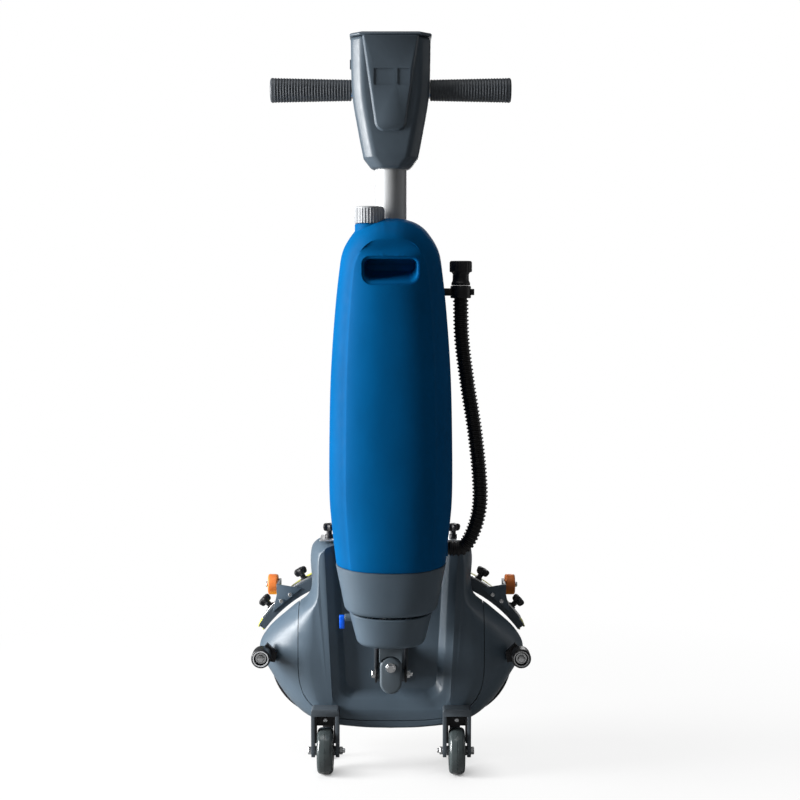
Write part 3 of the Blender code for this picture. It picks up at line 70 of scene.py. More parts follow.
# Places that come from the frame
POLE_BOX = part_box("pole")
CRADLE_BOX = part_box("tank_cradle")
HOUSING_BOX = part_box("vacuum_housing")
HEAD_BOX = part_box("head_rear_shell")
POLE_Y = (POLE_BOX[0].y + POLE_BOX[1].y) / 2
CRADLE_Z = CRADLE_BOX[0].z
CRADLE_TOP = CRADLE_BOX[1].z
HOUSING_Z = HOUSING_BOX[0].z
HOUSING_TOP = HOUSING_BOX[1].z
HEAD_Z = HEAD_BOX[0].z
HEAD_TOP = HEAD_BOX[1].z
GAP = 0.0003            # between pieces that are fitted together
SIDES = (("left", -1), ("right", 1))
AHEAD = Vector((0.0, -1.0, 0.0))
ASTERN = Vector((0.0, 1.0, 0.0))

# Pole, head and grips
POLE_D = 0.050
POLE_WALL = 0.002
HEAD_TOP_HALF = 0.063
HEAD_SIDES = (          # share of the height above the collar, half width
    (0.0, 0.0435), (0.23, 0.0518), (0.545, 0.0609), (1.0, 0.0630))
COLLAR_HALF = 0.030
HEAD_DEPTH = 0.076
COLLAR_DEPTH = 0.066
COLLAR_H = 0.018
HEAD_CHAMFER = 0.016
HEAD_WALL = 0.003
HEAD_SOFT = 0.0060
HEAD_SEAM = 0.0004      # half the gap between the shells
SHIELD_RAISE = 0.004
SHIELD_SLOPE = 0.0035
SHIELD_EDGE = (0.0009, 0.0004)  # small bevel of its face
SHIELD_TOP_HALF = 0.041
SHIELD_LOW_HALF = 0.0195
SHIELD_LOW = 0.060
SHIELD_CORNER = 0.012
WINDOWS = ((-0.0265, 0.0055), (0.0105, 0.0300))
WINDOW_H = 0.026
WINDOW_CORNER = 0.0015
WINDOW_SINK = 0.0012
WINDOW_DROP = 0.064
TAB_IN = 0.004
TAB_DROP = 0.038
TAB_HALF = (0.006, 0.005, 0.007)
TAB_Y = 0.011
LID_EDGE = (            # rise above its foot, inset
    (0.0, 0.0012), (0.0012, 0.0), (0.0030, 0.0), (0.0048, 0.0012))
LID_TOP_INSET = 0.0040
BUTTON_EDGE = (         # drop from its top, inset
    (0.0016, 0.0), (0.0005, 0.0006), (0.0, 0.0018), (0.0, 0.0034), (0.0005, 0.0040))
BUTTON_DISH = 0.0005
BAR_DROP = 0.080
BAR_D = 0.026
GRIP_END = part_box("grip_right")[1].x
GRIP_LENGTH = 0.128
GRIP_INNER_R = 0.017
GRIP_OUTER_R = 0.0195
GRIP_RIBS = 27
GRIP_RIB_DEPTH = 0.0010
GRIP_RIB_STEPS = 6
GRIP_PLAIN_END = 0.006
GRIP_ROUND = 0.0035
GRIP_PLUG = (           # depth below the end, radius
    (0.0004, 0.0100), (0.0014, 0.0095), (0.0014, 0.0004))

# Tank
TANK_FRONT = 0.095
TANK_BACK = 0.020
TANK_H = 0.542
TANK_Z = CRADLE_TOP + GAP
TANK_TOP = TANK_Z + TANK_H
TANK_BELLY_HALF = 0.0975
TANK_FOOT_FADE = 0.060
TANK_FOOT_ROUND = 0.0022
TANK_HALVES = (         # share of the height, half width
    (0.0, 0.0870), (0.10, 0.0932), (0.20, 0.0975), (0.36, 0.0975), (0.55, 0.0950), (0.72, 0.0888),
    (0.85, 0.0815), (0.915, 0.0750), (0.965, 0.0590), (0.990, 0.0440), (1.003, 0.0270), (1.008, 0.0120))
TANK_SPLIT = 0.035      # from the pole's axis to the widest plane
OVAL_POWER = 2.4        # roundness of the level sections of tank, cradle and housing
TANK_BACK_KEYS = (      # share of the way back, share drawn in
    (1.0, 0.144), (0.95, 0.094), (0.82, 0.046), (0.60, 0.018), (0.30, 0.004))
PANEL_EDGE = 0.7625     # share of the way to the front where the front panel starts
PANEL_STEP = 0.0012
PANEL_WIDTHS = (0.99, 0.98, 0.96, 0.93, 0.90, 0.86, 0.80, 0.72, 0.63, 0.53, 0.42, 0.30, 0.17, 0.05)
PANEL_RISE = 0.30       # share of the panel's height above the crown's start that its middle is lower
SCOOP = 0.0060          # hollow for the knuckles above the slot
SCOOP_HALF = 0.052
CROWN_SHARE = 0.75      # of the height, where the crown starts to lean back
CROWN_LEAN = 1.21       # crown's drop for each length that the sides are drawn in
SLOT_W = 0.081
SLOT_H = 0.036
SLOT_DEPTH = 0.036
SLOT_DROP = 0.078
SLOT_LIP = 0.0045
SLOT_LIFT = 0.016       # rise of its floor towards the back
SLOT_BEND = 0.0875      # half width over which its mouth follows the front
SLOT_CORNERS = (0.0125, 0.0085)  # radius at the foot and at the top
PLUG = (0.078, 0.086, 0.011)    # half width, front, back
PLUG_DEPTH = 0.016
NECK_X = -0.033
NECK_Y = -0.050
BOSS_D = 0.0460
FILLER_Z = TANK_TOP - 0.004
FILLER_D = 0.047
FILLER_H = 0.026
FILLER_RIBS = 30
FILLER_RIB = 0.025
FILLER_EDGE = (         # drop from its top, inset
    (0.0034, 0.0016), (0.0016, 0.0014), (0.0005, 0.0022), (0.0, 0.0036), (0.0, 0.0075), (0.0008, 0.0083))
FILLER_DISH = 0.0008

# Drain hose
HOSE_D = 0.025
HOSE_RIB_PITCH = 0.0062
HOSE_RIB_DEPTH = 0.0022
HOSE_Y = 0.005
HOSE_SIDES = 24
RIB_POINTS = 6
RIB_FLANKS = (-0.55, 0.35)  # part of the wave over which a rib rises
SPIGOT_D = 0.027
SPIGOT_Z = TANK_Z + SPIGOT_D / 2 + 0.003
HOSE_ROUTE = (          # x, and rise above the spigot, from the cap down, as in the part's source
    (0.112, 0.425), (0.112, 0.398), (0.114, 0.338), (0.1235, 0.265), (0.135, 0.192), (0.143, 0.119),
    (0.1435, 0.070), (0.134, 0.030), (0.117, 0.002), (0.092, 0.0))
CLIP_H = 0.020
CLIP_WALL = 0.004
CLIP_EDGE = 0.001
CLIP_ROOT = 0.076       # inside the tank's side
CLIP_ARM_HALF = 0.007
CLIP_EAR = (0.005, 0.006, 0.005)  # reach, half depth, inset of its ends
DRAIN_CAP_R = 0.018
DRAIN_CAP_H = 0.039
DRAIN_CAP_COLLAR = (    # rise, share of the radius
    (0.0, 0.80), (0.0006, 0.84), (0.0042, 0.84), (0.0050, 0.80), (0.0080, 0.73))
DRAIN_CAP_NECK = (      # share of the height, share of the radius
    (0.46, 0.72), (0.52, 0.80), (0.56, 0.94))
DRAIN_CAP_GRIP = ((0.54, 0.93), (0.57, 1.0), (0.93, 1.0), (0.97, 0.97), (1.0, 0.90))
DRAIN_CAP_FLUTES = 24
DRAIN_CAP_FLUTE = 0.015

# Cradle and vacuum housing: half width, front, back
CRADLE_RIM = (0.088, 0.095, 0.0305)
CRADLE_FOOT = (0.073, 0.088, 0.0295)
HOUSING_RIM = (0.067, 0.086, 0.026)
HOUSING_FOOT = (0.053, 0.076, 0.022)
RIM_DIP = 0.0070         # lips dip towards the front
WAIST_DIP = 0.0075
FOOT_DIP = 0.0030
CUP_WALL = 0.005
CUP_FLOOR = 0.006
CRADLE_ROUND = 0.009
HOUSING_ROUND = 0.010
HOUSING_WALL = 0.004
TAP_DROP = 0.013
TAP_BOSS_R = 0.006

# Universal joint
PIVOT_Y = -0.035
PIVOT_Z = 0.179
ROLL_Z = 0.193
BLOCK_W = 0.035
BLOCK_DEPTH = 0.036
BLOCK_BELOW = 0.029
BOLT_D = 0.0075
BOLT_CORNERS = 0.0130
BOLT_HEAD = 0.0055
BOLT_EDGE = 0.0008
WASHER_T = 0.0012
WASHER_R = 0.0080
TONGUE_T = 0.016
STUB_W = 0.037
STUB_LIFT = 0.0085
STUB_CLEAR = 0.0010     # between the stub and the knuckle
TONGUE_HALF = 0.015
TONGUE_R = 0.0070
EAR_GAP = 0.0045
EAR_T = 0.0034
BUSH_D = 0.018
BUSH_EDGE = 0.0006
EAR_R = 0.014
BRACKET_T = 0.004
BRACKET_H = 0.068
BRACKET_FLANGE = 0.003

# Deck
DECK_FACE = 0.032
DECK_DEPTH = 0.068
DECK_RIM = DECK_FACE + DECK_DEPTH
DECK_WALL = 0.0035
DECK_TOP = 0.380
DECK_FOOT = 0.060
TOWER_HALF = 0.136
TOWER_FOOT = 0.290
FLANK_HALF = 0.223
FLANK_Z = 0.190
FACE_INSET = 0.018
FACE_DROP = 0.008
FACE_LIFT = 0.013
FACE_HALF = 0.132
DOME_POWER = 1.6        # two gives a quarter ellipse, one a straight slope
SEAM_POWER = 3.4
SEAM_HALF = 0.154
SEAM_FOOT = 0.083
SEAM_GAP = 0.0011
SEAM_LIP = 0.0060
SEAM_LIP_T = 0.0010
TIPS = 0.165
RECESS_HALF = 0.105
RECESS_FOOT = 0.103
RECESS_DEPTH = 0.018
RECESS_RISE = 1.4       # foot's lift for each inset of the sides
RECESS_CORNER = 0.025
RECESS_SLOPE = (        # depth below the face, inset from the outer outline
    (-0.0040, -0.0060), (-0.0005, -0.0026), (0.0006, -0.0008), (0.0022, 0.0026), (0.0044, 0.0082),
    (0.0056, 0.0108), (0.0072, 0.0122), (0.0120, 0.0158), (0.0152, 0.0182), (0.0170, 0.0196),
    (0.0177, 0.0203), (0.0180, 0.0214))
RECESS_TAPER = (0.010, 0.006)  # half width lost at the foot, and gained at the top

# Brushes
BRUSH_X = 0.107
BRUSH_Z = 0.165
BRUSH_R = 0.104
BRUSH_BORE_R = 0.042
BRISTLE_RINGS = 8
BRISTLE_STEP = 0.0078
STRANDS = 8             # round the middle one of a tuft
STRAND_TURN = 0.785
STRAND_ENDS = (         # spread, thickness, in its hole and at its tip
    (0.0011, 0.00075), (0.0036, 0.00055))
STRAND_CORNERS = (0.0, 2.094, 4.189)
BRISTLE_LEAN = 0.11     # outwards, of the outer rings
BRISTLE_WAVER = 0.012
BRISTLE_SIZES = (0.93, 0.995)
BRISTLE_SEED = 4
DISC_HUB_R = 0.022
DISC_DISH = 0.004
DISC_FRONT = DECK_RIM + 0.014
DISC_BACK = DISC_FRONT + 0.008

# Wheels and rollers
WHEEL_X = 0.108
WHEEL_Y = 0.015
WHEEL_R = 0.038
WHEEL_W = 0.026
TYRE_INNER = 0.0262
TYRE_ROUND = 0.0065
TYRE_SEAM = (           # half width, depth
    (0.0007, 0.00005), (0.0003, 0.0005))
HUB_HALF = (            # from the middle plane, radius
    (0.0165, 0.0042), (0.0165, 0.0076), (0.0070, 0.0092), (0.0070, 0.0200), (0.0112, 0.0235),
    (0.0118, 0.0262))
FORK_INNER = 0.017
FORK_T = 0.006
FORK_HALF = 0.013
FORK_LEG_R = 0.011
FORK_WEB = 0.098
FORK_CROWN = 0.1095
# Black plate behind each caster wheel and black liners inside the fork legs, as painted shade of the fork's
# dark inside: the plate's lower edge, the liners' lower edge, and the liners' inner edge from the wheel's
# middle
SHADE_PLATE_LOW = 0.079
SHADE_LINER_LOW = 0.053
SHADE_LINER_NEAR = 0.0141
BUMPER_X = 0.214
BUMPER_R = 0.016
BUMPER_W = 0.030
BUMPER_BACK = DECK_RIM - 0.053
BUMPER_BORE_R = 0.0054
BUMPER_ROUND = 0.0030
BUMPER_DISH = 0.0060
BUMPER_BORE_EDGE = (     # behind the front, radius
    (0.0006, 0.0110), (0.0, 0.0116))
BUMPER_DISH_R = 0.0104
BUMPER_BAND = (         # behind the front, radius
    (0.0004, 0.0112), (-0.0006, 0.0113), (-0.0006, 0.0129), (0.0004, 0.0130))
BUMPER_WASHER = (       # ahead of the dish, radius
    (GAP, 0.0092), (0.0012, 0.0092), (0.0015, 0.0088))
BUMPER_HEAD = ((0.0012, 0.0066), (0.0046, 0.0066), (0.0058, 0.0056), (0.0062, 0.0036))
BUMPER_SHANK_R = 0.0050
BUMPER_ARM = 0.010
BRACKET_ROOT = ((0.008, 0.0185), (0.024, 0.003), (0.021, -0.013))  # inwards of the roller, and above it

# Squeegee
BLADE_R = 0.230
BLADE_MID = 0.030
BLADE_Z = 0.326
BLADE_SWEEP = 59.0
TIP_SHARE = 0.45
CHANNEL_IN = 0.0085
CHANNEL_REACH = 0.95
BLADE_REACH = 0.975
STRAP_REACH = 0.9
CHANNEL_OUT = 0.003
BLADE_T = 0.003
STRAP_T = 0.003
ARM_X = 0.103
ARM_T = 0.0024
GUIDE_R = 0.0175
GUIDE_W = 0.017
GUIDE_ROUND = 0.003
GUIDE_FACE = (          # sink below its side, radius
    (0.0, 0.0033), (0.0, 0.0060), (0.0020, 0.0075), (0.0020, 0.0115), (0.0, 0.0130))
KNOB_R = 0.012
KNOB_H = 0.012
KNOB_LOW = (            # rise, share of the radius
    (0.0, 0.66), (0.0008, 0.80), (0.0024, 0.90))
KNOB_HIGH = (           # drop from its top, share of the radius
    (0.0048, 1.0), (0.0024, 0.96), (0.0008, 0.84), (0.0, 0.66), (0.0, 0.36), (0.0007, 0.32))
KNOB_STAR = 0.16        # depth of its five hollows, as a share of the radius
KNOB_STEM_R = 0.0045
KNOB_STEM_H = 0.006
STRAP_H = 0.016
CHANNEL_H = 0.032
BLADE_H = 0.046

# Screws: places on the right side
BRACKET_SCREW_RISE = 0.022
GUIDE_SCREWS = ((0.186, 0.269), (0.171, 0.280))
PLATE_SCREWS = ((0.118, 0.338), (0.055, 0.366), (0.205, 0.200))
HEAD_SCREW_X = 0.031
HEAD_SCREW_DROP = 0.030
HEAD_SCREW_RISE = 0.045

# Light and camera
ROOM_LIGHT = 0.045
GLOSS_LIGHT = 0.12
FLOOR_OUTLINE = ((-4, -4), (4, -4), (4, 6), (-4, 6))
FLOOR_GREY = (0.30, 0.30, 0.30)
FLOOR_PALE = ((0.90, 0.90, 0.90), (0.93, 0.93, 0.93))
FLOOR_GLOW = 0.86
FLOOR_FADE = (0.45, 1.30)
FLOOR_NEAR = 0.07
LAMPS = (               # place, aim, size, power
    ("key_panel", (-2.68, -0.56, 1.05), (0.0, 0.0, 0.60), (1.0, 2.0), 220.0),
    ("front_panel", (0.4, -3.0, 1.9), (0.0, 0.0, 0.4), (1.6, 1.2), 1.0),
    ("rim_panel", (2.6, 0.25, 0.9), (0.0, 0.0, 0.60), (0.8, 1.8), 4.5),
    ("back_panel", (0.5, 3.0, 1.5), (0.0, 0.0, 0.60), (1.6, 1.6), 26.0),
    ("top_panel", (-0.3, -0.5, 2.9), (0.0, 0.0, 0.0), (1.6, 1.2), 14.0))
CAMERA_AT = (0.0146, -2.435, 0.786)
CAMERA_TILT = 4.02
CAMERA_LENS = 67.3
CAMERA_SENSOR = 36.0


# Shapes
def loft(rings, caps=True):
    """Skin over rings of equally many points, closed round each ring."""
    bm = bmesh.new()
    rows = [[bm.verts.new(point) for point in ring] for ring in rings]
    count = len(rows[0])
    for low, high in zip(rows, rows[1:]):
        for i in range(count):
            j = (i + 1) % count
            bm.faces.new((low[i], low[j], high[j], high[i]))
    if caps:
        bm.faces.new(rows[0])
        bm.faces.new(rows[-1])
    bmesh.ops.recalc_face_normals(bm, faces=bm.faces)
    return bm


def on_axis(axis, along, u, v):
    """Point at (u, v) across an axis."""
    if axis == "X":
        return Vector((along, u, v))
    if axis == "Y":
        return Vector((u, along, v))
    return Vector((u, v, along))


def prism(outline, axis, low, high):
    return loft([[on_axis(axis, level, u, v) for u, v in outline] for level in (low, high)])


def box(x0, x1, y0, y1, z0, z1):
    return prism(((x0, y0), (x1, y0), (x1, y1), (x0, y1)), "Z", z0, z1)


def turned(profile, axis, across, sides=48, shape=None):
    """Solid of (place, radius) rings round an axis, with flat ends; shape(angle) scales the radius."""
    rings = []
    for along, radius in profile:
        ring = []
        for i in range(sides):
            angle = 2 * math.pi * i / sides
            reach = radius * (shape(angle) if shape else 1.0)
            ring.append(on_axis(axis, along, across[0] + reach * math.cos(angle),
                                across[1] + reach * math.sin(angle)))
        rings.append(ring)
    return loft(rings)


def ring_of(profile, axis, across, sides=48):
    """Closed (place, radius) profile turned into a ring with an open middle."""
    rows = []
    for i in range(sides + 1):
        angle = 2 * math.pi * i / sides
        rows.append([on_axis(axis, along, across[0] + radius * math.cos(angle),
                             across[1] + radius * math.sin(angle)) for along, radius in profile])
    bm = loft(rows, caps=False)
    bmesh.ops.remove_doubles(bm, verts=bm.verts, dist=1e-7)
    bmesh.ops.recalc_face_normals(bm, faces=bm.faces)
    return bm


def arc(centre, radius, start, end, steps):
    points = []
    for i in range(steps + 1):
        angle = math.radians(start + (end - start) * i / steps)
        points.append((centre[0] + radius * math.cos(angle), centre[1] + radius * math.sin(angle)))
    return points


def smooth(keys, steps):
    """Curve through key points of any dimension, with its ends included."""
    keys = [Vector(key) for key in keys]
    padded = [2 * keys[0] - keys[1]] + keys + [2 * keys[-1] - keys[-2]]
    points = []
    for a, b, c, d in zip(padded, padded[1:], padded[2:], padded[3:]):
        for i in range(steps):
            t = i / steps
            points.append(0.5 * (2 * b + (c - a) * t + (2 * a - 5 * b + 4 * c - d) * t * t
                                 + (3 * b - a - 3 * c + d) * t * t * t))
    points.append(keys[-1])
    return points


def rounded_polygon(corners, steps=8):
    """Outline of ((u, v), radius) corners, each rounded by an arc that touches both its sides."""
    points = []
    count = len(corners)
    for i, (corner, radius) in enumerate(corners):
        here = Vector(corner)
        before = (Vector(corners[i - 1][0]) - here).normalized()
        after = (Vector(corners[(i + 1) % count][0]) - here).normalized()
        half = math.acos(max(-1.0, min(1.0, before.dot(after)))) / 2
        reach = radius / math.tan(half)
        middle = here + (before + after).normalized() * (radius / math.sin(half))
        start = here + before * reach - middle
        end = here + after * reach - middle
        for k in range(steps + 1):
            share = k / steps
            spoke = start.lerp(end, share)
            points.append(tuple(middle + spoke.normalized() * radius))
    return points


def joined(*meshes):
    """One bmesh from several, which are freed."""
    whole = bmesh.new()
    for bm in meshes:
        part = bpy.data.meshes.new("part")
        bm.to_mesh(part)
        bm.free()
        whole.from_mesh(part)
        bpy.data.meshes.remove(part)
    return whole


def mirrored(bm):
    """The same shape on the other side of the machine."""
    bmesh.ops.scale(bm, verts=bm.verts, vec=(-1, 1, 1))
    bmesh.ops.reverse_faces(bm, faces=bm.faces)
    return bm


# Pieces
def plain_object(name, bm):
    mesh = bpy.data.meshes.new(name)
    bm.to_mesh(mesh)
    bm.free()
    obj = bpy.data.objects.new(name, mesh)
    bpy.context.scene.collection.objects.link(obj)
    return obj


def applied(obj):
    """The object with its modifiers turned into its own mesh."""
    graph = bpy.context.evaluated_depsgraph_get()
    mesh = bpy.data.meshes.new_from_object(obj.evaluated_get(graph))
    obj.modifiers.clear()
    old = obj.data
    obj.data = mesh
    bpy.data.meshes.remove(old)
    mesh.name = obj.name
    return obj


def taken(obj):
    """Bmesh of an object, which goes."""
    mesh = obj.data
    bm = bmesh.new()
    bm.from_mesh(mesh)
    bpy.data.objects.remove(obj)
    bpy.data.meshes.remove(mesh)
    return bm


def carved(bm, operation, *others):
    """Solid after Booleans with other solids, as a bmesh."""
    base = plain_object("carving", bm)
    tools = []
    for other in others:
        blade = plain_object("carving_tool", other)
        modifier = base.modifiers.new("carve", "BOOLEAN")
        modifier.operation = operation
        modifier.object = blade
        tools.append(blade)
    result = taken(applied(base))
    for blade in tools:
        taken(blade).free()
    return result


def soften(obj, width, segments=3, angle=30.0):
    """Rounds the edges of a piece."""
    bevel = obj.modifiers.new("soft_edges", "BEVEL")
    bevel.width = width
    bevel.segments = segments
    bevel.limit_method = "ANGLE"
    bevel.angle_limit = math.radians(angle)
    bevel.use_clamp_overlap = True
    return applied(obj)


def softened(bm, width, segments=3, angle=30.0):
    """Shape with rounded edges, before it is joined to others."""
    return taken(soften(plain_object("softening", bm), width, segments, angle))


def dress(mesh, surface):
    mesh.materials.clear()
    mesh.materials.append(surface)


def piece(name, bm, surface, body, nodes=(), edge=0.0, segments=3, crease=38.0, machine=True):
    """Finished piece that rides on a body and stands for the named nodes.

    A machine piece has its depths from the pole's axis; any other is in the frame's own place.
    """
    if machine:
        bmesh.ops.translate(bm, verts=bm.verts, vec=(0.0, POLE_Y, 0.0))
    obj = plain_object(name, bm)
    if edge:
        soften(obj, edge, segments)
    obj.data.shade_smooth()
    obj.data.set_sharp_from_angle(angle=math.radians(crease))
    dress(obj.data, surface)
    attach(obj, body)
    if nodes:
        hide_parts(*nodes)
    return obj


def node_copy(node):
    """Welded copy of a node's solid, with its flat faces made whole, in the frame's own place."""
    bm = bmesh.new()
    bm.from_mesh(frame["nodes"][node].data)
    bmesh.ops.remove_doubles(bm, verts=bm.verts, dist=1e-6)
    bmesh.ops.dissolve_limit(bm, angle_limit=math.radians(1.0), verts=bm.verts, edges=bm.edges)
    return bm


def refined(node, surface, edge, segments=3):
    """The node's own solid with rounded edges."""
    body = frame["nodes"][node]["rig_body"]
    return piece(node + "_finished", node_copy(node), surface, body, (node,), edge, segments,
                 machine=False)


# Node trees
def add_node(tree, kind, values=None, **settings):
    """New node with its settings and the plain values of its inputs."""
    made = tree.nodes.new(kind)
    for setting, value in settings.items():
        setattr(made, setting, value)
    for socket, value in (values or {}).items():
        made.inputs[socket].default_value = value
    return made


def repeat_tree(name, sizes):
    """Geometry tree with named inputs for its sizes, its entry node, and the value of each input."""
    tree = bpy.data.node_groups.new(name, "GeometryNodeTree")
    tree.interface.new_socket("Geometry", in_out="INPUT", socket_type="NodeSocketGeometry")
    values = {}
    for label, kind, value in sizes:
        socket = tree.interface.new_socket(label, in_out="INPUT", socket_type=kind)
        socket.default_value = value
        values[socket.identifier] = value
    tree.interface.new_socket("Geometry", in_out="OUTPUT", socket_type="NodeSocketGeometry")
    return tree, add_node(tree, "NodeGroupInput"), values


def grown(holder, tree, values, shape, surface):
    """Bmesh of a holder after its tree, whose last nodes are made here; the holder goes."""
    real = add_node(tree, "GeometryNodeRealizeInstances")
    finish = add_node(tree, "GeometryNodeSetMaterial", {"Material": surface})
    leave = add_node(tree, "NodeGroupOutput")
    tree.links.new(shape, real.inputs["Geometry"])
    tree.links.new(real.outputs["Geometry"], finish.inputs["Geometry"])
    tree.links.new(finish.outputs["Geometry"], leave.inputs["Geometry"])
    modifier = holder.modifiers.new(tree.name, "NODES")
    modifier.node_group = tree
    for identifier, value in values.items():
        modifier[identifier] = value
    graph = bpy.context.evaluated_depsgraph_get()
    mesh = bpy.data.meshes.new_from_object(holder.evaluated_get(graph))
    bpy.data.objects.remove(holder)
    bm = bmesh.new()
    bm.from_mesh(mesh)
    bpy.data.meshes.remove(mesh)
    for face in bm.faces:
        face.material_index = 0
    bmesh.ops.remove_doubles(bm, verts=bm.verts, dist=1e-6)
    return bm


def scattered(name, places, shape, surface, seed=0, low=1.0, high=1.0):
    """Copies of a small shape by geometry nodes, its Z along each place's direction."""
    mesh = bpy.data.meshes.new(name + "_places")
    mesh.from_pydata([point for point, way in places], [], [])
    ways = mesh.attributes.new("way", "FLOAT_VECTOR", "POINT")
    for i, (point, way) in enumerate(places):
        ways.data[i].vector = way
    holder = bpy.data.objects.new(name + "_places", mesh)
    bpy.context.scene.collection.objects.link(holder)
    pattern = plain_object(name + "_pattern", shape)
    tree, entry, values = repeat_tree(name + "_copies", (
        ("Smallest", "NodeSocketFloat", low), ("Largest", "NodeSocketFloat", high),
        ("Seed", "NodeSocketInt", seed)))
    source = add_node(tree, "GeometryNodeObjectInfo", {"Object": pattern})
    way = add_node(tree, "GeometryNodeInputNamedAttribute", {"Name": "way"}, data_type="FLOAT_VECTOR")
    aim = add_node(tree, "FunctionNodeAlignRotationToVector", axis="Z")
    size = add_node(tree, "FunctionNodeRandomValue", data_type="FLOAT")
    copies = add_node(tree, "GeometryNodeInstanceOnPoints")
    limits = [socket for socket in size.inputs if socket.type == "VALUE" and socket.enabled]
    drawn = [socket for socket in size.outputs if socket.type == "VALUE" and socket.enabled]
    for start, end in ((entry.outputs["Smallest"], limits[0]), (entry.outputs["Largest"], limits[1]),
                       (entry.outputs["Seed"], size.inputs["Seed"]),
                       (way.outputs["Attribute"], aim.inputs["Vector"]),
                       (entry.outputs["Geometry"], copies.inputs["Points"]),
                       (source.outputs["Geometry"], copies.inputs["Instance"]),
                       (aim.outputs["Rotation"], copies.inputs["Rotation"]),
                       (drawn[0], copies.inputs["Scale"])):
        tree.links.new(start, end)
    bm = grown(holder, tree, values, copies.outputs["Instances"], surface)
    bpy.data.objects.remove(pattern)
    return bm


def ribbed_tube(name, points, radius, depth, surface):
    """Corrugated tube along a path by geometry nodes: a circle swept over points whose radius steps."""
    curve = bpy.data.curves.new(name, "CURVE")
    curve.dimensions = "3D"
    spline = curve.splines.new("POLY")
    spline.points.add(len(points) - 1)
    for point, place_at in zip(spline.points, points):
        point.co = (*place_at, 1.0)
    holder = bpy.data.objects.new(name + "_path", curve)
    bpy.context.scene.collection.objects.link(holder)
    tree, entry, values = repeat_tree(name + "_ribs", (
        ("Radius", "NodeSocketFloat", radius), ("Rib Depth", "NodeSocketFloat", depth)))
    index = add_node(tree, "GeometryNodeInputIndex")
    turn = add_node(tree, "ShaderNodeMath", {1: 2 * math.pi / RIB_POINTS}, operation="MULTIPLY")
    wave = add_node(tree, "ShaderNodeMath", operation="COSINE")
    crest = add_node(tree, "ShaderNodeMapRange", {"From Min": RIB_FLANKS[0], "From Max": RIB_FLANKS[1]},
                     interpolation_type="SMOOTHSTEP")
    low = add_node(tree, "ShaderNodeMath", operation="SUBTRACT")
    width = add_node(tree, "GeometryNodeSetCurveRadius")
    section = add_node(tree, "GeometryNodeCurvePrimitiveCircle", {"Resolution": HOSE_SIDES, "Radius": 1.0})
    sweep = add_node(tree, "GeometryNodeCurveToMesh", {"Fill Caps": True})
    links = [(index.outputs["Index"], turn.inputs[0]), (turn.outputs["Value"], wave.inputs[0]),
             (wave.outputs["Value"], crest.inputs["Value"]), (entry.outputs["Radius"], low.inputs[0]),
             (entry.outputs["Rib Depth"], low.inputs[1]), (low.outputs["Value"], crest.inputs["To Min"]),
             (entry.outputs["Radius"], crest.inputs["To Max"]),
             (entry.outputs["Geometry"], width.inputs["Curve"]),
             (crest.outputs["Result"], width.inputs["Radius"]),
             (width.outputs["Curve"], sweep.inputs["Curve"]),
             (section.outputs["Curve"], sweep.inputs["Profile Curve"])]
    if "Scale" in sweep.inputs:
        reach = add_node(tree, "GeometryNodeInputRadius")
        links.append((reach.outputs["Radius"], sweep.inputs["Scale"]))
    for start, end in links:
        tree.links.new(start, end)
    return grown(holder, tree, values, sweep.outputs["Mesh"], surface)


# Finishes
FLOW_SCALE = 22.0       # features in a metre
FLOW_STRETCH = (1.0, 1.0, 0.45)
WEAR_SCALE = 60.0
LINE_SCALE = 2600.0
HAZE_SCALE = 90.0
TUFT_SCALE = 170.0
COAT_ROUGHNESS = 0.12
BRISTLE_ROOT = (0.23, 0.12, 0.03)
BRISTLE_TIP = (0.86, 0.76, 0.42)
TUFT_SHADE = (0.72, 0.66, 0.55)
WHITE = (1.0, 1.0, 1.0)


def shader_of(name):
    """New material with its Principled shader and the frame's own coordinates."""
    material = bpy.data.materials.new(name)
    material.use_nodes = True
    tree = material.node_tree
    place = add_node(tree, "ShaderNodeTexCoord")
    return material, tree, tree.nodes["Principled BSDF"], place.outputs["Object"]


def speckle(tree, place, scale, detail=3.0, stretch=(1.0, 1.0, 1.0)):
    """Noise at so many features per metre, drawn out along an axis by a small stretch value."""
    mapping = add_node(tree, "ShaderNodeMapping", {"Scale": stretch})
    noise = add_node(tree, "ShaderNodeTexNoise", {"Scale": scale, "Detail": detail})
    tree.links.new(place, mapping.inputs["Vector"])
    tree.links.new(mapping.outputs["Vector"], noise.inputs["Vector"])
    return noise.outputs["Fac"]


def spread(tree, value, low, high, start=0.3, end=0.7):
    """Value carried to a range, from the part of 0 to 1 that noise fills."""
    span = add_node(tree, "ShaderNodeMapRange",
                    {"From Min": start, "From Max": end, "To Min": low, "To Max": high})
    tree.links.new(value, span.inputs["Value"])
    return span.outputs["Result"]


def tinted(tree, value, dark, light, start=0.32, end=0.68):
    """Colour between two tints."""
    ramp = add_node(tree, "ShaderNodeValToRGB")
    for stop, position, tint in zip(ramp.color_ramp.elements, (start, end), (dark, light)):
        stop.position = position
        stop.color = (*tint, 1.0)
    tree.links.new(value, ramp.inputs["Fac"])
    return ramp.outputs["Color"]


def roughened(tree, shader, height, strength, distance=0.0004):
    bump = add_node(tree, "ShaderNodeBump", {"Strength": strength, "Distance": distance})
    tree.links.new(height, bump.inputs["Height"])
    tree.links.new(bump.outputs["Normal"], shader.inputs["Normal"])


def shades(colour, change):
    """Colour a little darker and a little lighter."""
    return tuple(c * (1 - change) for c in colour), tuple(min(1.0, c * (1 + change)) for c in colour)


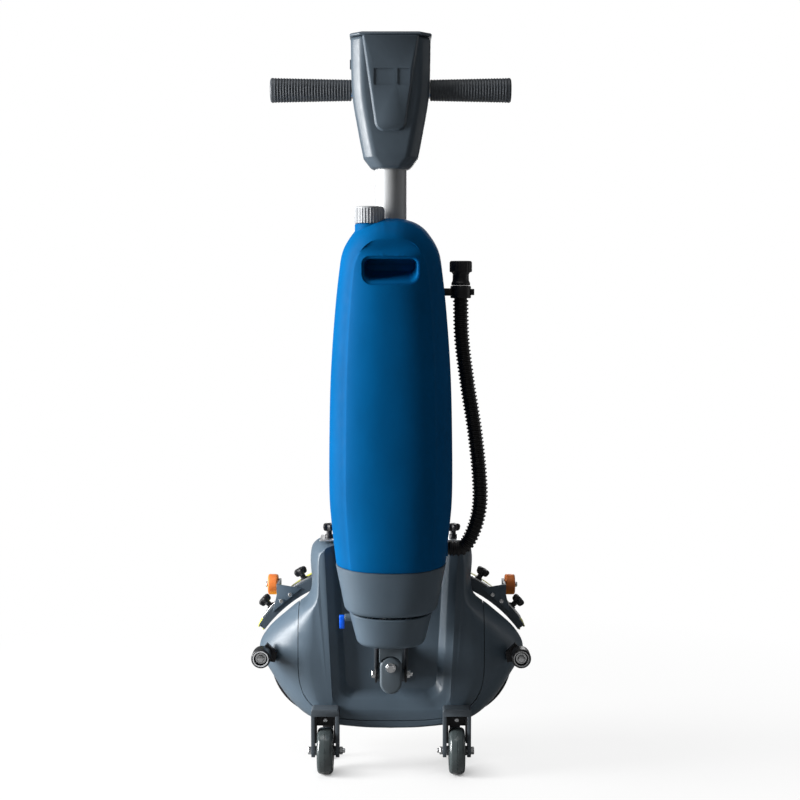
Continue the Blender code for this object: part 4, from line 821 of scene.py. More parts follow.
def moulded(name, colour, roughness, grain=1100.0, grain_height=0.18, mottle=0.06, specular=0.4, coat=0.0):
    """Moulded plastic or rubber: fine spark-eroded grain, faint flow marks and handling gloss."""
    material, tree, shader, place = shader_of(name)
    flow = speckle(tree, place, FLOW_SCALE, 4.0, FLOW_STRETCH)
    tree.links.new(tinted(tree, flow, *shades(colour, mottle)), shader.inputs["Base Color"])
    worn = speckle(tree, place, WEAR_SCALE, 5.0)
    tree.links.new(spread(tree, worn, roughness - 0.05, roughness + 0.06), shader.inputs["Roughness"])
    roughened(tree, shader, speckle(tree, place, grain, 2.0), grain_height)
    shader.inputs["Specular IOR Level"].default_value = specular
    shader.inputs["Coat Weight"].default_value = coat
    shader.inputs["Coat Roughness"].default_value = COAT_ROUGHNESS
    return material


def drawn_metal(name, colour, roughness, stretch, mottle=0.05, brush=0.10, metal=1.0):
    """Metal with fine lines along the way it was drawn or brushed."""
    material, tree, shader, place = shader_of(name)
    shader.inputs["Metallic"].default_value = metal
    lines = speckle(tree, place, LINE_SCALE, 3.0, stretch)
    tree.links.new(tinted(tree, lines, *shades(colour, mottle)), shader.inputs["Base Color"])
    haze = speckle(tree, place, HAZE_SCALE, 4.0)
    tree.links.new(spread(tree, haze, roughness - 0.05, roughness + 0.07), shader.inputs["Roughness"])
    roughened(tree, shader, lines, brush, 0.0001)
    return material


def bristle_fibre():
    """Nylon strands, brown towards their roots in the disc and cream towards the tips."""
    material, tree, shader, place = shader_of("bristle_fibre")
    split = add_node(tree, "ShaderNodeSeparateXYZ")
    tree.links.new(place, split.inputs["Vector"])
    depth = spread(tree, split.outputs["Y"], 0.0, 1.0, POLE_Y + DISC_BACK, POLE_Y + TIPS)
    tone = add_node(tree, "ShaderNodeMix", {"Factor": 1.0}, data_type="RGBA", blend_type="MULTIPLY")
    tree.links.new(tinted(tree, depth, BRISTLE_ROOT, BRISTLE_TIP, 0.0, 0.45), tone.inputs["A"])
    tuft_tone = speckle(tree, place, TUFT_SCALE, 1.0, (1.0, 0.1, 1.0))
    tree.links.new(tinted(tree, tuft_tone, TUFT_SHADE, WHITE), tone.inputs["B"])
    tree.links.new(tone.outputs["Result"], shader.inputs["Base Color"])
    shader.inputs["Roughness"].default_value = 0.55
    return material


SLATE = moulded("slate_moulding", (0.082, 0.116, 0.150), 0.38)
DARK_SLATE = moulded("dark_slate_moulding", (0.064, 0.086, 0.108), 0.38)
JOINT_GREY = moulded("joint_grey_moulding", (0.088, 0.112, 0.132), 0.44, 900.0, 0.30)
BLACK = moulded("black_moulding", (0.012, 0.012, 0.014), 0.42, 1400.0, 0.16, 0.10)
BLACK_STEEL = moulded("black_powder_coat", (0.013, 0.013, 0.015), 0.50, 700.0, 0.30, 0.10)
FORK_PAINT = moulded("fork_paint", (0.075, 0.090, 0.105), 0.34, 800.0, 0.12, 0.08)
GRIP_RUBBER = moulded("grip_rubber", (0.060, 0.068, 0.078), 0.44, 1600.0, 0.08, 0.08)
HOSE_BLACK = moulded("hose_black", (0.007, 0.007, 0.008), 0.38, 1200.0, 0.12, 0.15)
TANK_BLUE = moulded("tank_blue", (0.0002, 0.088, 0.250), 0.54, 620.0, 0.34, 0.07, 0.03)
TAP_BLUE = moulded("tap_blue", (0.002, 0.130, 0.900), 0.30, 1200.0, 0.10, 0.05)
CAP_GREY = moulded("cap_grey", (0.360, 0.372, 0.385), 0.42, 1100.0, 0.16, 0.05)
TYRE = moulded("tyre_polyurethane", (0.058, 0.072, 0.074), 0.24, 500.0, 0.08, 0.10, 0.5, 0.35)
ROLLER = moulded("roller_rubber", (0.018, 0.019, 0.021), 0.36, 700.0, 0.14, 0.10, 0.5)
HUB_GREY = moulded("hub_grey", (0.150, 0.160, 0.168), 0.42)
ORANGE = moulded("orange_moulding", (0.800, 0.215, 0.045), 0.42, 1000.0, 0.16, 0.07)
BLADE = moulded("blade_polyurethane", (0.640, 0.630, 0.050), 0.46, 800.0, 0.12, 0.06)
BOARD = moulded("circuit_board", (0.020, 0.180, 0.060), 0.45)
ALUMINIUM = drawn_metal("satin_aluminium", (0.42, 0.430, 0.436), 0.55, (1.0, 1.0, 0.02), metal=0.35)
SHEET_ALUMINIUM = drawn_metal("sheet_aluminium", (0.78, 0.79, 0.80), 0.34, (0.03, 1.0, 1.0))
# Pale grey of the rollers' front rings: the ring is real, its brightness is a painted reflection
BAND_PALE_AS_REFLECTION = moulded("band_grey", (0.620, 0.630, 0.640), 0.40)
STEEL = drawn_metal("zinc_plate", (0.66, 0.67, 0.68), 0.24, (1.0, 1.0, 1.0), 0.08, 0.05)
BRISTLE = bristle_fibre()


# Handle head, grips and pole
def head_ring(z, half, depth, inset=0.0):
    """Eight-cornered section of the head."""
    w = half - inset
    d = depth / 2 - inset
    c = HEAD_CHAMFER
    outline = ((w - c, -d), (w, -d + c), (w, d - c), (w - c, d),
               (c - w, d), (-w, d - c), (-w, -d + c), (c - w, -d))
    return [Vector((x, y, z)) for x, y in outline]


def head_body():
    rings = [head_ring(HEAD_Z, COLLAR_HALF, COLLAR_DEPTH)]
    for share, half in smooth(HEAD_SIDES, 5):
        rings.append(head_ring(HEAD_Z + COLLAR_H + share * (HEAD_TOP - HEAD_Z - COLLAR_H), half, HEAD_DEPTH))
    return softened(loft(rings), HEAD_SOFT, 5)


def shield_ring(grow, y):
    """Outline of the raised shield on the head's front, with rounded lower corners."""
    low = HEAD_Z + SHIELD_LOW - grow
    top = HEAD_TOP - GAP
    narrow = SHIELD_LOW_HALF + grow
    wide = SHIELD_TOP_HALF + grow
    corner = SHIELD_CORNER + grow
    outline = rounded_polygon((((-narrow, low), corner), ((narrow, low), corner),
                               ((wide, top), 0.001), ((-wide, top), 0.001)))
    return [Vector((x, y, z)) for x, z in outline]


def make_head():
    face = -HEAD_DEPTH / 2
    raised = face - SHIELD_RAISE
    rings = [shield_ring(grow, y) for grow, y in (
        (SHIELD_SLOPE, face + HEAD_WALL), (SHIELD_SLOPE, face), (SHIELD_EDGE[0], raised + SHIELD_EDGE[1]),
        (0.0, raised))]
    front = carved(head_body(), "UNION", loft(rings))
    windows = []
    low = HEAD_TOP - WINDOW_DROP - WINDOW_H / 2
    high = low + WINDOW_H
    for left, right in WINDOWS:
        corners = ((left, low), (right, low), (right, high), (left, high))
        outline = rounded_polygon([(corner, WINDOW_CORNER) for corner in corners], 4)
        windows.append(prism(outline, "Y", face - 2 * SHIELD_RAISE, raised + WINDOW_SINK))
    front = carved(front, "DIFFERENCE", *windows)
    tab_x = TAB_IN - HEAD_TOP_HALF
    tab_z = HEAD_TOP - TAB_DROP
    tab = box(tab_x - TAB_HALF[0], tab_x + TAB_HALF[0], TAB_Y - TAB_HALF[1], TAB_Y + TAB_HALF[1],
              tab_z - TAB_HALF[2], tab_z + TAB_HALF[2])
    rear = carved(head_body(), "UNION", tab)
    reach = HEAD_DEPTH
    for name, shape, near, far in (("head_front", front, -reach, -HEAD_SEAM),
                                   ("head_rear", rear, HEAD_SEAM, reach)):
        shell = carved(shape, "INTERSECT", box(-reach, reach, near, far, HEAD_Z - reach, HEAD_TOP + reach))
        piece(name, shell, DARK_SLATE, "handle", (name + "_shell",), crease=24.0)

    lid_low, lid_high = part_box("control_panel")
    depth = lid_high.y - lid_low.y
    rings = [head_ring(HEAD_TOP + GAP + rise, lid_high.x, depth, inset) for rise, inset in LID_EDGE]
    rings.append(head_ring(lid_high.z, lid_high.x, depth, LID_TOP_INSET))
    piece("head_lid", loft(rings), DARK_SLATE, "handle", ("control_panel",), 0.0014,
          crease=30.0)
    for node in ("power_button", "water_button"):
        low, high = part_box(node)
        radius = (high.x - low.x) / 2
        profile = [(low.z, radius)]
        profile += [(high.z - drop, radius - inset) for drop, inset in BUTTON_EDGE]
        profile.append((high.z - BUTTON_DISH, 0.0006))
        button = turned(profile, "Z", ((low.x + high.x) / 2, 0.0))
        piece(node + "_cap", button, CAP_GREY, node, (node,))


def make_grips():
    start = GRIP_END - GRIP_LENGTH
    pitch = (GRIP_LENGTH - GRIP_PLAIN_END) / GRIP_RIBS
    profile = [(start, BAR_D / 2 + GAP)]
    for i in range(GRIP_RIBS):
        radius = GRIP_INNER_R + (GRIP_OUTER_R - GRIP_INNER_R) * (i / GRIP_RIBS)
        for step in range(GRIP_RIB_STEPS):
            share = step / GRIP_RIB_STEPS
            dip = 0.5 + 0.5 * math.cos(2 * math.pi * share)
            profile.append((start + (i + share) * pitch, radius - GRIP_RIB_DEPTH * dip))
    profile += arc((GRIP_END - GRIP_ROUND, GRIP_OUTER_R - GRIP_ROUND), GRIP_ROUND, 90, 0, 6)
    profile += [(GRIP_END - depth, radius) for depth, radius in GRIP_PLUG]
    for name, side in SIDES:
        sleeve = turned([(side * along, radius) for along, radius in profile], "X",
                        (0, HEAD_TOP - BAR_DROP), 72)
        piece("grip_sleeve_" + name, sleeve, GRIP_RUBBER, "handle", ("grip_" + name,),
              crease=50.0)
    dress(frame["nodes"]["handlebar_tube"].data, STEEL)


def make_pole():
    low, high = POLE_BOX[0].z, POLE_BOX[1].z
    outer = POLE_D / 2
    inner = outer - POLE_WALL
    profile = ((low, inner), (low, outer), (high, outer), (high, inner))
    piece("pole_tube", ring_of(profile, "Z", (0, 0), 72), ALUMINIUM, "handle", ("pole",))


# Tank
def round_off(share):
    """Share left of one half axis of a rounded section, at a share of the way along the other."""
    return (1 - min(1.0, abs(share)) ** OVAL_POWER) ** (1 / OVAL_POWER)


def dipped(y, front, dip):
    """How far a lip has dipped at a depth between the widest plane and the front."""
    return dip * max(0.0, (-y - TANK_SPLIT) / (front - TANK_SPLIT)) ** 1.5


def tank_shell():
    """Front outlines stacked from the back of the tank to its bulging front panel."""
    right = [(p.y, TANK_Z + p.x * TANK_H) for p in smooth(TANK_HALVES, 9)]
    half, peak = right[-1]
    right += [(half * share, peak) for share in (0.66, 0.33)]
    points = right + [(0.0, peak)] + [(-x, z) for x, z in reversed(right)]
    crown = TANK_Z + CROWN_SHARE * TANK_H
    crown_half = min(x for x, z in right if z < crown + 0.02)
    reach = TANK_FRONT - TANK_SPLIT
    edge = round_off(PANEL_EDGE)
    slot_top = TANK_TOP - SLOT_DROP + SLOT_H / 2 + 0.004
    brow = TANK_TOP - CROWN_LEAN * (1 - edge) * TANK_BELLY_HALF

    def ring(share, narrow, width=1.0):
        """Outline at a share of the way to the front, or back if below nought, and drawn in."""
        lean = CROWN_LEAN * (1 - narrow) * TANK_BELLY_HALF / (TANK_TOP - crown)
        raise_by = PANEL_STEP * min(1.0, (1 - width) / 0.02)
        row = []
        for x, z in points:
            rise = max(0.0, z - crown)
            level = z - rise * (lean * (rise / (TANK_TOP - crown)) ** 0.35 + PANEL_RISE * (1 - width))
            if share < 0:
                row.append(Vector((x * narrow, -share * (TANK_SPLIT + TANK_BACK) - TANK_SPLIT, level)))
                continue
            bulge = round_off(narrow * width * x / max(abs(x), crown_half))
            depth = reach * (share + (bulge - share) * (share / PANEL_EDGE) ** 2)
            across = x * narrow * width
            if width < 1.0:
                up = max(0.0, min(1.0, (level - slot_top) / (brow - slot_top)))
                hollow = SCOOP * math.sin(math.pi * up) * max(0.0, 1 - (across / SCOOP_HALF) ** 2)
                depth += raise_by * min(1.0, 1.6 * (1 - up)) - hollow
            row.append(Vector((across, -depth - TANK_SPLIT, level)))
        return row

    rings = [ring(-back, 1 - drawn) for back, drawn in TANK_BACK_KEYS]
    for step in range(15):
        front = PANEL_EDGE * step / 14
        rings.append(ring(front, round_off(front)))
    rings += [ring(PANEL_EDGE, edge, width) for width in PANEL_WIDTHS]
    bm = loft(rings)
    bm.normal_update()
    foot = []
    for line in bm.edges:
        level = all(abs(vert.co.z - TANK_Z) < 1e-6 for vert in line.verts)
        upright = [face for face in line.link_faces if abs(face.normal.z) < 0.5]
        if level and len(upright) == 1:
            foot.append(line)
    bmesh.ops.bevel(bm, geom=foot, offset=TANK_FOOT_ROUND, segments=3, profile=0.5, affect="EDGES")
    bmesh.ops.recalc_face_normals(bm, faces=bm.faces)
    return bm


def slot_cutter():
    """Carry slot: a rounded lip, and a floor that rises towards the back."""
    z = TANK_TOP - SLOT_DROP
    foot, head = SLOT_CORNERS
    depths = [(-0.012, SLOT_LIP)]
    for angle in range(0, 91, 15):
        turn = math.radians(angle)
        depths.append((SLOT_LIP * (1 - math.cos(turn)) + 0.0012, SLOT_LIP * (1 - math.sin(turn))))
    depths += [(0.4 * SLOT_DEPTH, 0.0), (0.75 * SLOT_DEPTH, 0.0), (SLOT_DEPTH, -0.002)]
    rings = []
    for depth, grow in depths:
        share = max(0.0, depth / SLOT_DEPTH)
        low = z - SLOT_H / 2 - grow + SLOT_LIFT * share
        high = z + SLOT_H / 2 + grow
        half = SLOT_W / 2 + grow
        outline = rounded_polygon((((-half, low), foot + grow), ((half, low), foot + grow),
                                   ((half, high), head + grow), ((-half, high), head + grow)), 10)
        row = []
        for u, v in outline:
            bend = (1 - round_off(u / SLOT_BEND)) * (TANK_FRONT - TANK_SPLIT)
            row.append(Vector((u, depth - TANK_FRONT + bend * (1 - share), v)))
        rings.append(row)
    return loft(rings)


def filler_ribs(angle):
    wave = math.cos(FILLER_RIBS * angle)
    return 1 - FILLER_RIB + FILLER_RIB * max(-1.0, min(1.0, 2.2 * wave))


def make_tank():
    neck = (NECK_X, NECK_Y)
    plug = loft([oval(level, *PLUG) for level in (TANK_Z - PLUG_DEPTH, TANK_Z + 0.002)])
    boss_r = BOSS_D / 2
    boss = turned(((FILLER_Z - 0.060, boss_r), (FILLER_Z - 0.0022, boss_r),
                   (FILLER_Z - 0.0008, boss_r - 0.0014)), "Z", neck, 64)
    spigot_r = SPIGOT_D / 2
    spigot = turned(((0.060, spigot_r), (HOSE_ROUTE[-1][0] - GAP, spigot_r)), "X", (HOSE_Y, SPIGOT_Z), 40)
    bm = carved(tank_shell(), "UNION", plug, boss, spigot)
    groove_r = POLE_D / 2 + 0.001
    groove = arc((0, 0), groove_r, 180, 360, 36) + [(groove_r, 0.07), (-groove_r, 0.07)]
    bm = carved(bm, "DIFFERENCE", slot_cutter(), prism(groove, "Z", TANK_Z - 0.05, TANK_TOP + 0.05))
    for vert in bm.verts:
        fade = 1 - (vert.co.z - TANK_Z) / TANK_FOOT_FADE
        if 0 < fade < 1.01:
            vert.co.z -= fade * dipped(vert.co.y, TANK_FRONT, RIM_DIP)
    piece("tank_shell", bm, TANK_BLUE, "tank", ("water_tank",), crease=34.0)

    radius = FILLER_D / 2
    top = FILLER_Z + FILLER_H
    skirt = turned(((FILLER_Z, radius - 0.0006), (FILLER_Z + 0.0006, radius), (top - 0.0030, radius)), "Z",
                   neck, 240, filler_ribs)
    profile = [(top - drop, radius - inset) for drop, inset in FILLER_EDGE]
    crown = turned(profile + [(top - FILLER_DISH, 0.0006)], "Z", neck, 96)
    piece("filler_cap_ribbed", joined(skirt, crown), CAP_GREY, "filler_cap",
          ("filler_cap",))


# Drain hose
def evenly(points, step):
    """Points at an even step along a path, and its length."""
    lengths = [0.0]
    for a, b in zip(points, points[1:]):
        lengths.append(lengths[-1] + (b - a).length)
    count = max(2, round(lengths[-1] / step))
    spaced = []
    k = 0
    for i in range(count + 1):
        want = lengths[-1] * i / count
        while k < len(points) - 2 and lengths[k + 1] < want:
            k += 1
        share = (want - lengths[k]) / (lengths[k + 1] - lengths[k])
        spaced.append(points[k].lerp(points[k + 1], share))
    return spaced, lengths[-1]


def cap_flutes(angle):
    return 1 - DRAIN_CAP_FLUTE + DRAIN_CAP_FLUTE * math.cos(DRAIN_CAP_FLUTES * angle)


def make_hose():
    route = [Vector((x, HOSE_Y + POLE_Y, SPIGOT_Z + rise)) for x, rise in HOSE_ROUTE]
    points, length = evenly(smooth(route, 14), HOSE_RIB_PITCH / RIB_POINTS)
    tube = ribbed_tube("hose", points, HOSE_D / 2, HOSE_RIB_DEPTH, HOSE_BLACK)
    tube = piece("hose_ribbed", tube, HOSE_BLACK, "tank", ("drain_hose",), crease=60.0,
                 machine=False)
    x = points[0].x
    z = points[0].z
    at = (x, HOSE_Y)
    high = z - GAP
    low = high - CLIP_H
    outer = HOSE_D / 2 + CLIP_WALL
    inner = HOSE_D / 2 - HOSE_RIB_DEPTH
    edge = outer - CLIP_EDGE
    band = ring_of(((low, inner), (low, edge), (low + CLIP_EDGE, outer), (high - CLIP_EDGE, outer),
                    (high, edge), (high, inner)), "Z", at)
    arm = box(CLIP_ROOT, x - HOSE_D / 2, HOSE_Y - CLIP_ARM_HALF, HOSE_Y + CLIP_ARM_HALF, low + CLIP_WALL,
              high - CLIP_WALL)
    ear_reach, ear_half, ear_inset = CLIP_EAR
    ear = box(x + edge, x + outer + ear_reach, HOSE_Y - ear_half, HOSE_Y + ear_half, low + ear_inset,
              high - ear_inset)
    piece("hose_clip_band", joined(band, arm, ear), BLACK, "tank", ("hose_clip",), 0.0007, 2)

    foot = z + GAP
    reach = DRAIN_CAP_R
    neck = [(foot + rise, share * reach) for rise, share in DRAIN_CAP_COLLAR]
    neck += [(foot + rise * DRAIN_CAP_H, share * reach) for rise, share in DRAIN_CAP_NECK]
    grip = [(foot + rise * DRAIN_CAP_H, share * reach) for rise, share in DRAIN_CAP_GRIP]
    cap = joined(turned(neck, "Z", at, 96), turned(grip, "Z", at, 144, cap_flutes))
    cap = piece("drain_cap_fluted", cap, BLACK, "drain_cap", ("drain_cap",))
    path = [tuple(point) for point in reversed(points[::RIB_POINTS])]
    return tube, cap, path, length


# Cradle and vacuum housing
def signed_power(value, power):
    return math.copysign(abs(value) ** power, value)


def oval(z, half, front, back, sides=112):
    """Rounded section with its widest plane in front of the pole."""
    points = []
    for i in range(sides):
        angle = 2 * math.pi * i / sides
        depth = back + TANK_SPLIT if math.sin(angle) > 0 else front - TANK_SPLIT
        points.append(Vector((half * signed_power(math.cos(angle), 2 / OVAL_POWER),
                              depth * signed_power(math.sin(angle), 2 / OVAL_POWER) - TANK_SPLIT, z)))
    return points


def cup(z, height, rim, foot, radius, wall, floor, dips, lip=0.0012):
    """Hollow cup whose foot is rounded outside and inside, and whose rim has a small lip."""
    def section(share, inset):
        sizes = [a + (b - a) * share - inset for a, b in zip(foot, rim)]
        dip = dips[1] + (dips[0] - dips[1]) * share
        ring = oval(z + share * height, *sizes)
        for point in ring:
            point.z -= dipped(point.y, rim[1], dip)
        return ring

    rings = []
    for angle in range(0, 91, 15):
        turn = math.radians(angle)
        rings.append(section(radius * (1 - math.cos(turn)) / height, radius * (1 - math.sin(turn))))
    inner = radius - wall / 2
    for share, inset in ((0.35, 0.0), (0.6, 0.0), (0.85, 0.0), (1 - lip / height, 0.0), (1.0, lip),
                         (1.0, wall), (0.6, wall), (0.3, wall), ((floor + inner) / height, wall)):
        rings.append(section(share, inset))
    for angle in (60, 30, 0):
        turn = math.radians(angle)
        share = (floor + inner * (1 - math.cos(turn))) / height
        rings.append(section(share, wall + inner * (1 - math.sin(turn))))
    return loft(rings)


def make_cups():
    cradle = cup(CRADLE_Z, CRADLE_TOP - CRADLE_Z, CRADLE_RIM, CRADLE_FOOT, CRADLE_ROUND, CUP_WALL, CUP_FLOOR,
                 (RIM_DIP, WAIST_DIP))
    inner = POLE_D / 2
    outer = inner + CUP_WALL
    top = TANK_Z - PLUG_DEPTH - 0.002
    floor = CRADLE_Z + CUP_FLOOR - 0.001
    socket = ring_of(((floor, inner), (floor, outer), (top - 0.001, outer), (top, outer - 0.001),
                      (top, inner)), "Z", (0, 0), 72)
    piece("tank_cradle_cup", joined(cradle, socket), SLATE, "handle", ("tank_cradle",))
    housing = cup(HOUSING_Z, HOUSING_TOP - HOUSING_Z, HOUSING_RIM, HOUSING_FOOT, HOUSING_ROUND, HOUSING_WALL,
                  HOUSING_WALL, (WAIST_DIP, FOOT_DIP))
    end = -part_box("tap_lever")[1].x - GAP
    boss = turned(((0.060, TAP_BOSS_R), (end - 0.001, TAP_BOSS_R), (end, TAP_BOSS_R - 0.001)), "X",
                  (-TANK_SPLIT, HOUSING_TOP - TAP_DROP), 40)
    piece("vacuum_housing_cup", joined(housing, mirrored(boss)), SLATE, "handle",
          ("vacuum_housing",))
    refined("tap_lever", TAP_BLUE, 0.0022, 4)


# Universal joint
def hexagon(angle):
    step = math.pi / 3
    return math.cos(step / 2) / math.cos(angle % step - step / 2)


def hex_bolt(axis, across, low, high, washer=0.0):
    """Hexagon bolt seen at both ends: a head with a washer outside low, and a nut on a stud outside high."""
    way = 1 if high > low else -1
    r = BOLT_CORNERS / 2
    shank = BOLT_D / 2

    def part(start, steps, sides, shape=None):
        return turned([(start + way * along, radius) for along, radius in steps], axis, across, sides, shape)

    parts = []
    seat = low
    if washer:
        parts.append(part(low, ((-GAP, washer), (-0.0009, washer), (-WASHER_T, washer - 0.0003)), 48))
        seat = low - way * WASHER_T
    parts.append(part(seat, ((0.0, r), (BOLT_EDGE - BOLT_HEAD, r), (-BOLT_HEAD, 0.90 * r)), 48, hexagon))
    parts.append(turned(((low, shank), (high, shank)), axis, across, 32))
    parts.append(part(high, ((GAP, 0.92 * r), (BOLT_EDGE, r), (BOLT_HEAD - BOLT_EDGE, r),
                             (BOLT_HEAD, 0.90 * r)), 48, hexagon))
    stud = BOLT_HEAD + shank
    parts.append(part(high, ((0.0, shank), (stud - BOLT_EDGE, shank), (stud, shank - BOLT_EDGE)), 32))
    return joined(*parts)


def make_joint():
    near = PIVOT_Y - BLOCK_DEPTH / 2
    far = PIVOT_Y + BLOCK_DEPTH / 2
    roll = (0, ROLL_Z)
    pitch = (PIVOT_Y, PIVOT_Z)
    half = BLOCK_W / 2
    clear = half + STUB_CLEAR
    stub_half = STUB_W / 2
    stub_low = ROLL_Z + STUB_LIFT
    stub_top = HOUSING_Z - GAP
    corner = math.degrees(math.asin(STUB_LIFT / clear))
    outline = [(stub_half, stub_top), (stub_half, stub_low)]
    outline += arc(roll, clear, corner, 180 - corner, 32)
    outline += [(-stub_half, stub_low), (-stub_half, stub_top)]
    saddle = softened(prism(outline, "Y", near, far), 0.0016, 3)
    tongue_top = ROLL_Z + clear + 0.001
    tongue = [(TONGUE_HALF, tongue_top), (-TONGUE_HALF, tongue_top)] + arc(roll, TONGUE_R, 180, 360, 24)
    tongue = prism(tongue, "Y", PIVOT_Y - TONGUE_T / 2, PIVOT_Y + TONGUE_T / 2)
    piece("joint_stub_moulding", joined(saddle, tongue), JOINT_GREY, "handle",
          ("joint_stub",))

    foot = (0, PIVOT_Z - BLOCK_BELOW + half)
    outline = arc(roll, half, 0, 180, 32) + arc(foot, half, 180, 360, 32)
    block = softened(prism(outline, "Y", near, far), 0.0042, 5, 60.0)
    slot = TONGUE_T / 2 + 2 * GAP
    block = carved(block, "DIFFERENCE", box(-BLOCK_W, BLOCK_W, PIVOT_Y - slot, PIVOT_Y + slot,
                                            ROLL_Z - TONGUE_R - 2 * GAP, ROLL_Z + BLOCK_W))
    end = half + EAR_GAP - GAP
    bush = BUSH_D / 2
    edge = bush - BUSH_EDGE
    boss = turned(((-end, edge), (BUSH_EDGE - end, bush), (end - BUSH_EDGE, bush), (end, edge)), "X", pitch)
    piece("knuckle_moulding", carved(block, "UNION", boss), JOINT_GREY, "knuckle",
          ("knuckle_block",))
    piece("roll_bolt_plated", hex_bolt("Y", roll, near, far, WASHER_R), STEEL, "knuckle",
          ("roll_bolt",), crease=25.0)
    ear = half + EAR_GAP + EAR_T
    piece("pitch_bolt_plated", hex_bolt("X", pitch, -ear, ear), STEEL, "deck",
          ("pitch_bolt",), crease=25.0)
    seat = DECK_FACE + RECESS_DEPTH - GAP
    reach = BRACKET_H / 2
    outline = arc(pitch, EAR_R, 90, 270, 24)
    outline += [(seat - 0.001, PIVOT_Z - 0.8 * reach), (seat - 0.001, PIVOT_Z + 0.8 * reach)]
    ears = joined(*[prism(outline, "X", side * (ear - EAR_T), side * ear) for name, side in SIDES])
    piece("pivot_bracket_ears", ears, BLACK_STEEL, "deck", ("pivot_bracket",), 0.0012)
    wide = ear + BRACKET_FLANGE
    plate = rounded_polygon([((u * wide, PIVOT_Z + v * reach), 0.006)
                             for u, v in ((-1, -1), (1, -1), (1, 1), (-1, 1))])
    piece("pivot_bracket_base", prism(plate, "Y", seat - BRACKET_T, seat), FORK_PAINT, "deck",
          ("pivot_bracket",), 0.0008)


# Deck
def deck_rim_keys():
    """Right half of the deck's rim, from the top middle to the bottom middle."""
    flare = FLANK_HALF - TOWER_HALF
    drop = TOWER_FOOT - FLANK_Z
    return ((0, DECK_TOP), (TOWER_HALF - 0.036, DECK_TOP), (TOWER_HALF - 0.008, DECK_TOP - 0.008),
            (TOWER_HALF, DECK_TOP - 0.032), (TOWER_HALF, TOWER_FOOT),
            (TOWER_HALF + 0.35 * flare, TOWER_FOOT - 0.28 * drop),
            (TOWER_HALF + 0.82 * flare, TOWER_FOOT - 0.65 * drop), (FLANK_HALF, FLANK_Z),
            (FLANK_HALF - 0.019, FLANK_Z - 0.040), (FLANK_HALF - 0.053, FLANK_Z - 0.090),
            (FLANK_HALF - 0.093, DECK_FOOT + 0.012), (0.27 * FLANK_HALF, DECK_FOOT + 0.002), (0, DECK_FOOT))


def deck_face_keys():
    """Right half of the deck's flat front face, with the same points as the rim."""
    tower = TOWER_HALF - FACE_INSET
    top = DECK_TOP - FACE_DROP
    foot = DECK_FOOT + FACE_LIFT
    return ((0, top), (tower - 0.030, top), (tower - 0.007, top - 0.007), (tower, top - 0.024),
            (tower + 0.002, TOWER_FOOT), (tower + 0.010, TOWER_FOOT - 0.028),
            (FACE_HALF - 0.004, FLANK_Z + 0.035), (FACE_HALF, FLANK_Z), (FACE_HALF - 0.003, FLANK_Z - 0.040),
            (FACE_HALF - 0.013, FLANK_Z - 0.078), (FACE_HALF - 0.034, foot + 0.011),
            (0.39 * FACE_HALF, foot + 0.002), (0, foot))


def whole_outline(keys):
    right = [(p.x, p.y) for p in smooth(keys, 6)]
    return right + [(-x, z) for x, z in reversed(right[1:-1])]


def offset(outline, amount):
    """Clockwise outline moved outwards."""
    moved = []
    for i, (x, z) in enumerate(outline):
        before = outline[i - 1]
        after = outline[(i + 1) % len(outline)]
        along = Vector((after[0] - before[0], after[1] - before[1])).normalized()
        moved.append((x - along.y * amount, z + along.x * amount))
    return moved


def deck_body(grow=0.0, past_rim=0.0):
    """Domed deck: a rounded slope from the flat face out to the rim."""
    rim = offset(whole_outline(deck_rim_keys()), grow)
    face = offset(whole_outline(deck_face_keys()), grow)
    rings = []
    for degrees in range(0, 91, 6):
        turn = math.radians(degrees)
        share = math.sin(turn) ** (2 / DOME_POWER)
        y = DECK_FACE - grow + (DECK_DEPTH + grow) * (1 - math.cos(turn) ** (2 / DOME_POWER))
        rings.append([Vector((a[0] + share * (b[0] - a[0]), y, a[1] + share * (b[1] - a[1])))
                      for a, b in zip(face, rim)])
    if past_rim:
        rings.append([Vector((x, DECK_RIM + past_rim, z)) for x, z in rim])
    return loft(rings)


def deck_recess(grow=0.0):
    """Channel for the pole and the joint: a soft brim, two slopes and a rounded foot."""
    rings = []
    top = DECK_TOP + 0.05
    for depth, inset in RECESS_SLOPE:
        half = RECESS_HALF - inset + grow
        low = RECESS_FOOT + RECESS_RISE * inset - grow
        corner = RECESS_CORNER - 0.3 * inset
        narrow = half - RECESS_TAPER[0]
        wide = half + RECESS_TAPER[1]
        outline = rounded_polygon((((-narrow, low), corner), ((narrow, low), corner), ((wide, top), 0.001),
                                   ((-wide, top), 0.001)), 12)
        shift = grow if depth > 0.5 * RECESS_DEPTH else 0.0
        rings.append([Vector((u, DECK_FACE + depth + shift, v)) for u, v in outline])
    return loft(rings)


def cover_prism(grow):
    """U-shaped seam between the cover and the skirt, pushed through the deck."""
    half = SEAM_HALF + grow
    drop = FLANK_Z - SEAM_FOOT + grow
    outline = [(half, DECK_TOP + DECK_DEPTH)]
    for i in range(97):
        angle = math.pi * i / 96
        outline.append((half * signed_power(math.cos(angle), 2 / SEAM_POWER),
                        FLANK_Z - drop * abs(math.sin(angle)) ** (2 / SEAM_POWER)))
    outline.append((-half, DECK_TOP + DECK_DEPTH))
    return prism(outline, "Y", 0.0, 2 * DECK_RIM)


